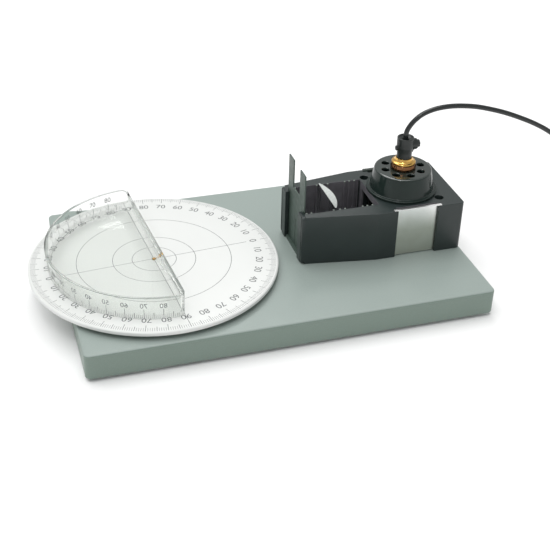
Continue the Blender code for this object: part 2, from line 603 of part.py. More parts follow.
def make_plug(plug_mat, brass):
    place = (PLUG_X, PLUG_Y, PLUG_Z)
    half_z = PLUG_THICK / 2
    outline = rounded_box((-PLUG_HALF, PLUG_HALF), (PLUG_NECK, PLUG_NECK + PLUG_LENGTH), 4.0, 3)
    body = prism(outline, -half_z, half_z)
    softened(body, 1.6, 2, lambda a, b: abs(a.z - b.z) < 0.01)
    plug = piece("plug_body", body, plug_mat, at=place)
    inside = PLUG_NECK + 2.0
    neck = turned(((0.0, 0.0), (3.6, 0.0), (5.2, PLUG_NECK), (5.2, inside), (0.0, inside)), 16)
    join(plug, tilted(neck, -math.pi / 2, "X"))
    end = PLUG_NECK + PLUG_LENGTH
    shape = (
        (0.0, -7.5), (PIN_RADIUS, -7.5), (PIN_RADIUS, PIN_LENGTH - 1.0), (PIN_RADIUS - 0.8, PIN_LENGTH),
        (0.0, PIN_LENGTH),
    )
    for number, way in enumerate((-1, 1), 1):
        x = way * PIN_SPACING / 2
        socket = cylinder(PIN_RADIUS + GAP, end - 8.0, end + 1.0, 16)
        cut(plug, tilted(socket, -math.pi / 2, "X"), (x, 0.0, 0.0))
        pin = tilted(turned(shape, 16), -math.pi / 2, "X")
        piece(f"plug_pin_{number}", pin, brass, at=(PLUG_X + x, PLUG_Y + end, PLUG_Z))


def main():
    clear_scene()
    laminate = material("laminate", (0.37, 0.42, 0.40), 0.45)
    rubber = material("rubber", (0.03, 0.03, 0.03), 0.8)
    steel = material("zinc_steel", (0.5, 0.5, 0.48), 0.35, 1.0)
    brass = material("brass", (0.6, 0.37, 0.12), 0.3, 1.0)
    white = material("white_plastic", (0.8, 0.84, 0.82), 0.35)
    clear = material("clear_plastic", (0.86, 0.93, 0.88), 0.05, transmission=0.9)
    moulding = material("box_moulding", (0.035, 0.042, 0.042), 0.45)
    plate = material("plate_plastic", (0.08, 0.1, 0.09), 0.5)
    frosted = material("frosted_glass", (0.6, 0.62, 0.64), 0.4, transmission=0.6)
    aluminium = material("aluminium", (0.42, 0.45, 0.38), 0.4, 1.0)
    black = material("black_plastic", (0.03, 0.033, 0.035), 0.4)
    insulator = material("insulator", (0.5, 0.45, 0.35), 0.6)
    glass = material("bulb_glass", (0.95, 0.95, 0.95), 0.02, transmission=1.0)
    tungsten = material("tungsten", (0.4, 0.4, 0.4), 0.4, 1.0)
    make_board(laminate)
    make_feet(rubber, steel)
    turntable = make_turntable(brass, white)
    make_trough(clear, turntable)
    make_ray_box(moulding, steel)
    make_box_floor(plate)
    make_shutters(aluminium, plate)
    make_slit_plate(plate)
    make_lens(frosted)
    make_lamp_house(moulding, brass, black, insulator, glass, tungsten)
    make_lead(black, plate, black, brass)


main()
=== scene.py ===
"""Looks of the bench optics set: board, protractor disc, clear trough, ray box, lamp housing and lead.

Lengths are in millimetres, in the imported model's frame, and become metres when a mesh or a curve is made.
"""

import json
import math

import bmesh
import bpy
from mathutils import Euler, Matrix, Vector


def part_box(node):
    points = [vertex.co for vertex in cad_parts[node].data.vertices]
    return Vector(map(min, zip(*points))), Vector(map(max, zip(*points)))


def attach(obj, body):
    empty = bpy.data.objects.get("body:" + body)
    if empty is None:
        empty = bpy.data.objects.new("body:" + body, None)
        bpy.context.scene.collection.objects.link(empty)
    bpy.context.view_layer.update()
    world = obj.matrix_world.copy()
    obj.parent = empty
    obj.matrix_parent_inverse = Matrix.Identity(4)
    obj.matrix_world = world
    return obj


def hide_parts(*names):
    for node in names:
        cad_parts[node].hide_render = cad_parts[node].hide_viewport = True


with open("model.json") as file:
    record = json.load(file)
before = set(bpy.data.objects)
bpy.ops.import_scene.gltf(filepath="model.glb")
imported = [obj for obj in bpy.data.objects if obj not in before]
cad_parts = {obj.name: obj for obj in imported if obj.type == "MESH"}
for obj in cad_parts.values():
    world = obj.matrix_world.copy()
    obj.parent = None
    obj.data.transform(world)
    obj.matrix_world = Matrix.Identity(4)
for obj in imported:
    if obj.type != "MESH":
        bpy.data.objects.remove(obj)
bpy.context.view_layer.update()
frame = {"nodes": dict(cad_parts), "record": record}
MM = 0.001

# Camera
CAMERA_PLACE = (-256.0, -907.55, 624.5)
CAMERA_ANGLES = (56.628, -1.173, -16.844)
CAMERA_LENS, SENSOR = 70.64, 36.0


def corners(node):
    return [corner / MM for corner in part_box(node)]


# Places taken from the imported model
board_low, board_high = corners("base_board")
disc_low, disc_high = corners("protractor_disc")
trough_low = corners("refraction_trough")[0]
box_low, box_high = corners("ray_box_body")
cap_low, cap_high = corners("lamp_cap")
lens_low, lens_high = corners("cylindrical_lens")
grip_low, grip_high = corners("cord_grip")
BOARD_TOP = board_high.z
PIVOT = Vector(((disc_low.x + disc_high.x) / 2, 0.0, 0.0))
LAMP = Vector(((cap_low.x + cap_high.x) / 2, 0.0, BOARD_TOP))
DISC_TURN = 4.7  # degrees that the disc and its trough are turned by at rest

# Board
SEAM = 0.9  # laminate sheet on the board's two faces
BOARD_CORNER, BOARD_EDGE = 5.5, 2.0
NUT_RECESS, NUT_RECESS_DEEP, BUSH_BORE = 11.0, 9.0, 5.3

# Disc and its printed scale, as distances from its middle
DISC_RADIUS, DISC_HOLE = 125.0, 2.3
SCALE_CIRCLES = (22.1, 41.6, 77.5)
SCALE_OUTER, SCALE_ONE, SCALE_FIVE, SCALE_TEN = 122.7, 117.6, 115.9, 113.6
NUMERAL_MIDDLE, NUMERAL_HEIGHT = 105.8, 7.2
ZERO_LINE, NINETY_LINE = 98.5, 122.2
STROKE, FINE_STROKE, INK_PROUD = 0.5, 0.32, 0.03
TROUGH_SCALE_STEP = 0.984  # degrees of wall for each degree printed on it

# Trough, its outside and inside as (height, inset) pairs, and the heights of what is printed on it
TROUGH_RADIUS, TROUGH_RIM_RADIUS, TROUGH_HEIGHT = 105.0, 106.8, 25.0
TROUGH_FACE, TROUGH_CORNER = 1.0, 8.0
TROUGH_OUTSIDE = ((0.0, 0.8), (0.25, 0.25), (0.8, 0.0), (24.3, 0.0), (24.8, 0.2), (25.0, 0.7))
TROUGH_INSIDE = ((25.0, 1.8), (24.8, 2.3), (24.3, 2.5), (4.6, 2.5), (3.2, 3.0), (2.5, 4.4))
TICK_FOOT, TICK_ONE, TICK_FIVE, TICK_TEN = 1.5, 5.5, 8.0, 12.0
WALL_NUMERAL_HEIGHT, WALL_NUMERAL_MIDDLE = 5.2, 15.9

# Ray box, with X measured from the board's middle
BOX_FRONT, BOX_REAR, BOX_WALL = 31.0, 201.9, 3.0
RIBS = (37.3, 42.2, 65.9, 72.4, 78.1, 96.9, 102.0, 107.6)
RIB_WIDE, RIB_PROUD, HALL_HALF = 2.0, 2.0, 27.9
WINDOW_HALF, LAMP_HALL_REACH, FLANGE_DEEP = 43.8, 33.5, 4.3
POST_REACH, WELL_DEEP = 7.5, 24.0

# Lens and plates
LENS_EDGE, LENS_DEPTH = 1.5, 8.1
SHEET = 0.9
LIP_THICK, LIP_TRIM = 0.7, 1.2  # the shutter's lip, and how much it falls short of its CAD solid's

# Lamp housing, with heights from the board's top
CAP_FLANGE, CAP_LOW, CAP_HIGH, CAP_SPIGOT, CAP_HOLE = 36.8, 33.5, 29.4, 30.5, 9.7
CAP_FOOT, CAP_TOP, SPIGOT_FOOT = 54.5, 78.0, 49.0
VENT_COUNT, VENT_CIRCLE, VENT_RADIUS, VENT_PHASE = 8, 19.5, 4.0, 1.6
GRIP_NECK, GRIP_RADIUS, GRIP_MOUTH, GRIP_THROAT = 7.7, 8.6, 6.4, 3.2
BOSS_Z, BOSS_RADIUS, BOSS_REACH, BUMP_Z = 103.6, 5.7, 13.0, 101.0
CLAMP_HEAD, CLAMP_SHAFT, CLAMP_REACH, CLAMP_GROOVES = 3.9, 1.3, 15.4, 18
BULB_WALL, BULB_RADIUS, BULB_MIDDLE, BULB_NECK, BULB_TOP = 0.8, 12.5, 30.0, 6.6, 49.7
FILAMENT_RADIUS, FILAMENT_COIL, FILAMENT_TOP, FILAMENT_HIGH = 0.16, 0.45, 33.0, 7.5

# Lead
CORD_RADIUS = 2.6
COIL = Vector((446.0, 20.0, 0.0))
COIL_LAY, COIL_LAY_INNER = 30.6, 25.4
COIL_LAYERS = (3.9, 9.1, 14.2)
LEAD_ROUTE = (
    (167.85, 0.0, 138.1), (168.1, 0.0, 147.0), (171.3, 0.0, 153.9), (177.0, 0.0, 160.3),
    (184.8, 0.0, 165.6), (197.1, 0.0, 169.4), (212.0, 0.0, 170.6), (228.3, 0.0, 169.4),
    (246.7, 0.0, 166.0), (270.9, 0.0, 158.6), (291.0, 0.0, 150.6), (313.4, 0.0, 140.0),
    (332.3, 0.0, 128.8), (349.0, 0.0, 115.8), (362.8, -0.3, 100.0), (373.6, -1.2, 81.5),
    (382.2, -2.8, 61.0), (390.4, -4.9, 39.8), (399.6, -7.2, 20.4), (411.6, -9.4, 7.2),
    (427.4, -10.6, 2.7),
)
TAIL_ROUTE = (
    (476.6, 38.6, 14.0), (476.8, 48.0, 13.0), (476.7, 58.0, 9.8), (476.6, 67.0, 7.6),
    (476.6, 75.5, 7.0),
)
PLUG = Vector((476.6, 75.3, 7.0))
PLUG_NECK, PLUG_LENGTH, PLUG_HALF, PLUG_THICK = 12.0, 26.0, 15.5, 13.6
PLUG_EDGE, PIN_SPACING, PIN_RADIUS, PIN_LENGTH = 2.2, 19.0, 2.0, 17.0


# Shapes ------------------------------------------


def piece(name, bm, body, mats, replaces=(), smooth=30, at=(0, 0, 0), turn=0.0, edges=0.0):
    """Turns a bmesh in millimetres into a piece that rides on a body."""
    bmesh.ops.scale(bm, vec=(MM, MM, MM), verts=bm.verts)
    bmesh.ops.recalc_face_normals(bm, faces=bm.faces)
    mesh = bpy.data.meshes.new(name)
    bm.to_mesh(mesh)
    bm.free()
    mesh.shade_smooth()
    mesh.set_sharp_from_angle(angle=math.radians(smooth))
    for mat in mats if isinstance(mats, (list, tuple)) else (mats,):
        mesh.materials.append(mat)
    obj = bpy.data.objects.new(name, mesh)
    obj.location = Vector(at) * MM
    obj.rotation_euler.z = math.radians(turn)
    bpy.context.collection.objects.link(obj)
    if edges:
        bevel = obj.modifiers.new("edges", "BEVEL")
        bevel.width = edges * MM
        bevel.segments = 3
        bevel.limit_method = "ANGLE"
        bevel.angle_limit = math.radians(35)
        bevel.use_clamp_overlap = False
        bevel.harden_normals = True
    return settle(obj, body, replaces)


def settle(obj, body, replaces=()):
    """Puts a piece on its body and hides the CAD nodes it stands for."""
    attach(obj, body)
    if replaces:
        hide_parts(*replaces)
    return obj


def prism(outline, low, high):
    """An outline of (x, y) pairs made solid between two heights."""
    bm = bmesh.new()
    face = bm.faces.new([bm.verts.new((x, y, low)) for x, y in outline])
    raised = bmesh.ops.extrude_face_region(bm, geom=[face])["geom"]
    top = [part for part in raised if isinstance(part, bmesh.types.BMVert)]
    bmesh.ops.translate(bm, vec=(0.0, 0.0, high - low), verts=top)
    return bm


def block(x, y, z):
    return prism(((x[0], y[0]), (x[1], y[0]), (x[1], y[1]), (x[0], y[1])), *z)


def lofted(levels):
    """Outlines with equally many points, each with its height, joined in order and closed at both ends."""
    bm = bmesh.new()
    rings = [[bm.verts.new((x, y, height)) for x, y in outline] for outline, height in levels]
    for low, high in zip(rings, rings[1:]):
        for index in range(len(low)):
            after = (index + 1) % len(low)
            bm.faces.new((low[index], low[after], high[after], high[index]))
    bm.faces.new(reversed(rings[0]))
    bm.faces.new(rings[-1])
    return bm


def turned(profile, sides=96, closed=False):
    """A profile of (radius, height) pairs spun round Z."""
    bm = bmesh.new()
    points = [bm.verts.new((radius, 0.0, height)) for radius, height in profile]
    links = [bm.edges.new(pair) for pair in zip(points, points[1:])]
    if closed:
        links.append(bm.edges.new((points[-1], points[0])))
    whole = 2 * math.pi
    bmesh.ops.spin(
        bm, geom=points + links, cent=(0, 0, 0), axis=(0, 0, 1), angle=whole, steps=sides, use_merge=True
    )
    bmesh.ops.remove_doubles(bm, verts=bm.verts, dist=0.0005)
    return bm


def cylinder(radius, low, high, sides=48):
    return turned(((0.0, low), (radius, low), (radius, high), (0.0, high)), sides)


def arc(centre, radius, start, end, steps):
    """Points along an arc, with its angles in degrees."""
    angles = [math.radians(start + (end - start) * step / steps) for step in range(steps + 1)]
    return [(centre[0] + radius * math.cos(a), centre[1] + radius * math.sin(a)) for a in angles]


def rounded(profile, radius, steps=4, closed=True):
    """Rounds each corner of an outline. A corner may carry its own radius as a third number."""
    count = len(profile)
    result = []
    for index, corner in enumerate(profile):
        own = corner[2] if len(corner) > 2 else radius
        at = Vector(corner[:2])
        if own <= 0 or (not closed and index in (0, count - 1)):
            result.append(tuple(at))
            continue
        before = Vector(profile[index - 1][:2]) - at
        after = Vector(profile[(index + 1) % count][:2]) - at
        angle = before.angle(after)
        if angle > math.pi - 0.02:
            result.append(tuple(at))
            continue
        reach = min(own / math.tan(angle / 2), before.length * 0.49, after.length * 0.49)
        start, end = at + before.normalized() * reach, at + after.normalized() * reach
        for step in range(steps + 1):
            t = step / steps
            result.append(tuple((1 - t) ** 2 * start + 2 * t * (1 - t) * at + t**2 * end))
    return result


def rounded_edge(radius):
    """How far in and how far up each point of a rounded bottom edge lies, from the foot to the side."""
    turns = [math.radians(angle) for angle in range(0, 91, 15)]
    return [(radius * (1 - math.sin(turn)), radius * (1 - math.cos(turn))) for turn in turns]


def rounded_box(x, y, radius, steps=8):
    """An outline with round corners between two X places and two Y places."""
    corners_at = (
        ((x[1] - radius, y[1] - radius), 0),
        ((x[0] + radius, y[1] - radius), 90),
        ((x[0] + radius, y[0] + radius), 180),
        ((x[1] - radius, y[0] + radius), 270),
    )
    return [point for centre, start in corners_at for point in arc(centre, radius, start, start + 90, steps)]


def tilted(bm, angle, axis):
    bmesh.ops.rotate(bm, cent=(0, 0, 0), matrix=Matrix.Rotation(math.radians(angle), 3, axis), verts=bm.verts)
    return bm


def moved(bm, x=0.0, y=0.0, z=0.0):
    bmesh.ops.translate(bm, vec=(x, y, z), verts=bm.verts)
    return bm


def across(outline, low, high):
    """An outline of (y, z) pairs made solid between two X places."""
    bm = prism(outline, low, high)
    turn = Matrix(((0, 0, 1), (1, 0, 0), (0, 1, 0)))
    bmesh.ops.transform(bm, matrix=turn.to_4x4(), verts=bm.verts)
    return bm


def loose(bm):
    """A bmesh as a passing object, for a modifier to work on."""
    bmesh.ops.recalc_face_normals(bm, faces=bm.faces)
    mesh = bpy.data.meshes.new("loose")
    bm.to_mesh(mesh)
    bm.free()
    obj = bpy.data.objects.new("loose", mesh)
    bpy.context.collection.objects.link(obj)
    return obj


def evaluated_shape(obj):
    """The finished shape of a passing object, which is removed."""
    finished = obj.evaluated_get(bpy.context.evaluated_depsgraph_get())
    bm = bmesh.new()
    bm.from_mesh(finished.to_mesh())
    finished.to_mesh_clear()
    return bm


def carved(bm, *steps):
    """Runs Boolean steps, each an operation and a bmesh, on a bmesh."""
    target = loose(bm)
    used = [target]
    for operation, shape in steps:
        tool = loose(shape)
        modifier = target.modifiers.new("step", "BOOLEAN")
        modifier.operation, modifier.solver, modifier.object = operation, "EXACT", tool
        used.append(tool)
    result = evaluated_shape(target)
    for obj in used:
        mesh = obj.data
        bpy.data.objects.remove(obj)
        bpy.data.meshes.remove(mesh)
    return result


def node_shape(node):
    """A CAD node's shape in millimetres, with its flat faces whole again."""
    bm = bmesh.new()
    bm.from_mesh(frame["nodes"][node].data)
    bmesh.ops.remove_doubles(bm, verts=bm.verts, dist=1e-6)
    bmesh.ops.dissolve_limit(bm, angle_limit=math.radians(0.5), verts=bm.verts, edges=bm.edges)
    bmesh.ops.scale(bm, vec=(1 / MM, 1 / MM, 1 / MM), verts=bm.verts)
    return bm


def smooth_route(route, fineness=8):
    """Points on the smooth curve through a route."""
    knots = [Vector(point) for point in route]
    knots = [2 * knots[0] - knots[1]] + knots + [2 * knots[-1] - knots[-2]]
    fine = []
    for before, start, end, after in zip(knots, knots[1:], knots[2:], knots[3:]):
        for step in range(fineness):
            t = step / fineness
            bend = (2 * before - 5 * start + 4 * end - after) * t**2
            twist = (3 * start - before - 3 * end + after) * t**3
            fine.append(0.5 * (2 * start + (end - before) * t + bend + twist))
    return fine + [knots[-2]]


def tube(name, points, radius, body, mat, replaces=(), resolution=6):
    """A round wire or lead along a line of points."""
    curve = bpy.data.curves.new(name, "CURVE")
    curve.dimensions = "3D"
    curve.bevel_depth = radius * MM
    curve.bevel_resolution = resolution
    curve.use_fill_caps = True
    spline = curve.splines.new("POLY")
    spline.points.add(len(points) - 1)
    for place, point in zip(spline.points, points):
        place.co = (*(Vector(point) * MM), 1.0)
    spline.use_smooth = True
    curve.materials.append(mat)
    obj = bpy.data.objects.new(name, curve)
    bpy.context.collection.objects.link(obj)
    return settle(obj, body, replaces)


# Materials ---------------------------------------


class Surface:
    """A node material on a Principled shader, with helpers for procedural detail."""

    def __init__(self, name, colour, roughness, metallic=0.0, **sockets):
        self.material = bpy.data.materials.new(name)
        self.material.use_nodes = True
        self.nodes = self.material.node_tree.nodes
        self.links = self.material.node_tree.links
        self.shader = self.nodes["Principled BSDF"]
        self.set("Base Color", (*colour, 1.0))
        self.set("Roughness", roughness)
        self.set("Metallic", metallic)
        for socket, value in sockets.items():
            self.set(socket.replace("_", " "), value)
        self.colour, self.roughness = colour, roughness
        self.place = self.nodes.new("ShaderNodeTexCoord").outputs["Object"]
        self.normal = None

    def set(self, socket, value):
        self.shader.inputs[socket].default_value = value

    def stretched(self, scale):
        mapping = self.nodes.new("ShaderNodeMapping")
        mapping.inputs["Scale"].default_value = scale
        self.links.new(self.place, mapping.inputs["Vector"])
        return mapping.outputs["Vector"]

    def along(self, axis):
        """How far along one of the piece's own axes, in metres."""
        split = self.nodes.new("ShaderNodeSeparateXYZ")
        self.links.new(self.place, split.inputs[0])
        return split.outputs[axis]

    def blend(self, a, b, share=0.5):
        """A mix of two values with this share of the second."""
        mix = self.nodes.new("ShaderNodeMix")
        mix.inputs["Factor"].default_value = share
        self.links.new(a, mix.inputs["A"])
        self.links.new(b, mix.inputs["B"])
        return mix.outputs["Result"]

    def noise(self, size_mm, detail=3.0, stretch=None):
        """Noise whose blotches are about this many millimetres across."""
        node = self.nodes.new("ShaderNodeTexNoise")
        node.inputs["Scale"].default_value = 1.0 / (size_mm * MM)
        node.inputs["Detail"].default_value = detail
        place = self.stretched(stretch) if stretch else self.place
        self.links.new(place, node.inputs["Vector"])
        return node.outputs["Fac"]

    def ranged(self, value, low, high, start=0.3, end=0.7):
        node = self.nodes.new("ShaderNodeMapRange")
        node.inputs["From Min"].default_value = start
        node.inputs["From Max"].default_value = end
        node.inputs["To Min"].default_value = low
        node.inputs["To Max"].default_value = high
        self.links.new(value, node.inputs["Value"])
        return node.outputs["Result"]

    def tone(self, value, darker, lighter):
        """Drives the colour between a darker and a lighter tone of itself."""
        mix = self.nodes.new("ShaderNodeMix")
        mix.data_type = "RGBA"
        mix.inputs["A"].default_value = (*(c * darker for c in self.colour), 1.0)
        mix.inputs["B"].default_value = (*(min(c * lighter, 1.0) for c in self.colour), 1.0)
        self.links.new(self.ranged(value, 0.0, 1.0), mix.inputs["Factor"])
        self.links.new(mix.outputs["Result"], self.shader.inputs["Base Color"])
        return self

    def gloss(self, value, low, high):
        self.links.new(self.ranged(value, low, high), self.shader.inputs["Roughness"])
        return self

    def bump(self, value, depth_mm, strength=1.0):
        node = self.nodes.new("ShaderNodeBump")
        node.inputs["Strength"].default_value = strength
        node.inputs["Distance"].default_value = depth_mm * MM
        self.links.new(value, node.inputs["Height"])
        if self.normal:
            self.links.new(self.normal, node.inputs["Normal"])
        self.normal = node.outputs["Normal"]
        self.links.new(self.normal, self.shader.inputs["Normal"])
        return self

    def let_lamps_through(self, tint):
        """Light from the lamps goes straight through, so what lies behind the clear wall is lit."""
        mix = self.nodes.new("ShaderNodeMixShader")
        through = self.nodes.new("ShaderNodeBsdfTransparent")
        through.inputs["Color"].default_value = (*tint, 1.0)
        path = self.nodes.new("ShaderNodeLightPath")
        self.links.new(path.outputs["Is Shadow Ray"], mix.inputs["Fac"])
        self.links.new(self.shader.outputs["BSDF"], mix.inputs[1])
        self.links.new(through.outputs["BSDF"], mix.inputs[2])
        self.links.new(mix.outputs["Shader"], self.nodes["Material Output"].inputs["Surface"])
        return self


def laminate_look():
    """The board's two faces."""
    board = Surface("laminate_face", (0.284, 0.337, 0.314), 0.42)
    board.tone(board.noise(1.2, 4.0), 0.97, 1.03).gloss(board.noise(30.0), 0.36, 0.46)
    board.bump(board.noise(0.5, 2.0), 0.01)
    return board.material


def banding_look():
    """The board's four sides: the laminate with painted shade that makes them darker, and a faint grain along
    them.
    """
    side_shade = Surface("board_side_shade", (0.182, 0.24, 0.205), 0.42)
    side_shade.tone(side_shade.noise(1.2, 4.0), 0.96, 1.04).gloss(side_shade.noise(20.0), 0.36, 0.48)
    side_shade.bump(side_shade.noise(0.6, 2.0, (0.2, 0.2, 1.0)), 0.015)
    return side_shade.material


def white_look():
    """The disc."""
    white = Surface("disc_white", (0.715, 0.73, 0.712), 0.32)
    white.tone(white.noise(60.0), 0.985, 1.01).gloss(white.noise(20.0), 0.3, 0.38)
    white.bump(white.noise(4.0), 0.01)
    return white.material


def ink_look():
    """Everything printed."""
    ink = Surface("scale_ink", (0.13, 0.14, 0.14), 0.6)
    ink.tone(ink.noise(0.8), 0.85, 1.2)
    return ink.material


def clear_look():
    """The trough."""
    clear = Surface("trough_acrylic", (0.93, 0.94, 0.93), 0.03, Transmission_Weight=1.0, IOR=1.05)
    clear.set("Coat Weight", 0.35)
    clear.gloss(clear.noise(12.0), 0.02, 0.05).let_lamps_through((0.42, 0.43, 0.42))
    return clear.material


def clear_edge_look():
    """The trough's two rims, painted grey for the light and shade that gather where the clear wall ends."""
    edge = Surface("trough_rim_painted_light_and_shade", (0.42, 0.45, 0.43), 0.25, Transmission_Weight=0.6, IOR=1.1)
    edge.tone(edge.noise(6.0), 0.85, 1.1).let_lamps_through((0.7, 0.7, 0.7))
    return edge.material


def moulding_look():
    """The ray box outside."""
    moulding = Surface("box_moulding", (0.018, 0.027, 0.026), 0.32)
    moulding.tone(moulding.noise(25.0), 0.9, 1.12).gloss(moulding.noise(8.0), 0.3, 0.38)
    moulding.bump(moulding.noise(1.6, 2.0), 0.008, 0.5)
    return moulding.material


def inside_look():
    """The ray box inside: the moulding again, its colour painted for the shaded inside, duller and a little
    purple.
    """
    inside = Surface("box_inside_painted_shade", (0.14, 0.135, 0.15), 0.7)
    inside.tone(inside.noise(9.0), 0.9, 1.15).bump(inside.noise(1.2, 2.0), 0.02)
    return inside.material


def cap_look():
    """The lamp housing's cap."""
    cap = Surface("cap_moulding", (0.014, 0.024, 0.021), 0.14)
    cap.tone(cap.noise(18.0), 0.9, 1.12).gloss(cap.noise(6.0), 0.11, 0.17).bump(cap.noise(3.0), 0.003)
    cap.set("Specular IOR Level", 0.3)
    return cap.material


def cap_top_look():
    """The cap's top, which reflects more than its side."""
    cap_top = Surface("cap_top", (0.016, 0.026, 0.022), 0.16)
    cap_top.tone(cap_top.noise(18.0), 0.9, 1.12).gloss(cap_top.noise(6.0), 0.13, 0.2)
    cap_top.bump(cap_top.noise(3.0), 0.003)
    cap_top.set("Specular IOR Level", 1.0)
    return cap_top.material


def tips_look():
    """The ribs' ends, with a painted highlight that makes them paler than the box."""
    rib_highlights = Surface("rib_tip_highlight", (0.15, 0.18, 0.155), 0.45)
    rib_highlights.tone(rib_highlights.noise(0.8), 0.6, 1.4).bump(rib_highlights.noise(0.3), 0.02)
    return rib_highlights.material


def far_plate_look():
    """The dark shutter."""
    far_plate = Surface("far_plate", (0.03, 0.042, 0.034), 0.45)
    far_plate.tone(far_plate.noise(10.0), 0.85, 1.15).bump(far_plate.noise(0.3), 0.01)
    return far_plate.material


def plate_look():
    """The slit plate."""
    plate = Surface("plate_moulding", (0.052, 0.078, 0.064), 0.4)
    plate.tone(plate.noise(14.0), 0.92, 1.1).gloss(plate.noise(6.0), 0.34, 0.48).bump(plate.noise(0.3), 0.01)
    return plate.material


def ground_look():
    """The lens's ground ends, with painted shade that makes them darker on the near side."""
    ground = Surface("lens_ground_face", (0.47, 0.50, 0.48), 0.5)
    # Painted shade: the ground faces darken towards the near side.
    along = ground.ranged(ground.along("Y"), 0.25, 0.75, -26.0 * MM, 10.0 * MM)
    ground.tone(ground.blend(along, ground.noise(2.0, 6.0)), 0.62, 1.2).bump(ground.noise(0.3), 0.03)
    return ground.material


def glass_look():
    """The lens."""
    glass = Surface("lens_glass", (0.95, 0.97, 0.96), 0.02, Transmission_Weight=1.0, IOR=1.5)
    glass.gloss(glass.noise(10.0), 0.01, 0.05).let_lamps_through((0.9, 0.92, 0.91))
    return glass.material


def bulb_look():
    """The bulb."""
    bulb = Surface("bulb_glass", (1.0, 1.0, 1.0), 0.01, Transmission_Weight=1.0, IOR=1.45)
    bulb.gloss(bulb.noise(8.0), 0.0, 0.03).let_lamps_through((0.95, 0.95, 0.95))
    return bulb.material


def aluminium_look():
    """The bright shutter, with a painted highlight that makes it paler towards its top."""
    sheet = Surface("shutter_aluminium", (0.87, 0.88, 0.77), 0.3, 1.0)
    # Painted highlight: the colour lightens towards the sheet's top.
    painted_top_highlight = sheet.ranged(sheet.along("Z"), 0.3, 0.72, 58 * MM, 83 * MM)
    sheet.tone(sheet.blend(painted_top_highlight, sheet.ranged(sheet.noise(14.0), 0.4, 0.6), 0.25), 0.62, 1.5)
    sheet.gloss(sheet.noise(12.0), 0.29, 0.34)
    return sheet.material


def brass_look():
    """The upper ring, the pivot, the plug's pins and the lampholder's brass."""
    brass = Surface("brass", (0.78, 0.47, 0.13), 0.2, 1.0)
    brass.tone(brass.noise(6.0, 3.0), 0.93, 1.05).gloss(brass.noise(4.0), 0.17, 0.22)
    return brass.material


def tarnished_look():
    """The lower ring, a much darker and redder brass than the upper one."""
    dull = Surface("dark_red_brass", (0.2, 0.095, 0.045), 0.18, 1.0)
    dull.tone(dull.noise(5.0, 3.0), 0.7, 1.3).gloss(dull.noise(4.0), 0.15, 0.22)
    return dull.material


def steel_look():
    """The screws and the filament."""
    steel = Surface("zinc_steel", (0.55, 0.56, 0.55), 0.32, 1.0)
    steel.tone(steel.noise(1.5), 0.85, 1.08).gloss(steel.noise(1.0), 0.3, 0.4)
    return steel.material


def black_look():
    """The grip, the clamp screw and the plug."""
    black = Surface("black_moulding", (0.013, 0.017, 0.016), 0.34)
    black.tone(black.noise(5.0), 0.85, 1.2).gloss(black.noise(3.0), 0.3, 0.42).bump(black.noise(1.0), 0.006)
    return black.material


def sheath_look():
    """The lead."""
    sheath = Surface("cord_sheath", (0.012, 0.015, 0.015), 0.26)
    sheath.tone(sheath.noise(12.0), 0.88, 1.15).gloss(sheath.noise(5.0), 0.2, 0.26)
    sheath.bump(sheath.noise(1.0), 0.01)
    return sheath.material


def rubber_look():
    """The feet."""
    rubber = Surface("foot_rubber", (0.02, 0.02, 0.02), 0.75)
    rubber.tone(rubber.noise(2.0), 0.8, 1.3).bump(rubber.noise(0.4), 0.05)
    return rubber.material


def core_look():
    """The lampholder's insulator."""
    core = Surface("holder_insulator", (0.45, 0.38, 0.26), 0.55)
    core.tone(core.noise(2.0), 0.85, 1.1).bump(core.noise(0.4), 0.02)
    return core.material


def webbing_look():
    """The tie round the coil."""
    webbing = Surface("tie_weave", (0.03, 0.03, 0.032), 0.8)
    webbing.tone(webbing.noise(0.5), 0.7, 1.6).bump(webbing.noise(0.5, 2.0, (1.0, 6.0, 1.0)), 0.1)
    return webbing.material


def make_materials():
    return {
        "laminate": laminate_look(),
        "side_shade": banding_look(),
        "white": white_look(),
        "ink": ink_look(),
        "clear": clear_look(),
        "rim_light_and_shade": clear_edge_look(),
        "moulding": moulding_look(),
        "inside": inside_look(),
        "cap": cap_look(),
        "cap_top": cap_top_look(),
        "rib_highlights": tips_look(),
        "far_plate": far_plate_look(),
        "plate": plate_look(),
        "ground": ground_look(),
        "glass": glass_look(),
        "bulb": bulb_look(),
        "aluminium": aluminium_look(),
        "brass": brass_look(),
        "dark_brass": tarnished_look(),
        "steel": steel_look(),
        "black": black_look(),
        "sheath": sheath_look(),
        "rubber": rubber_look(),
        "core": core_look(),
        "webbing": webbing_look(),
    }


# Camera, floor and light -------------------------


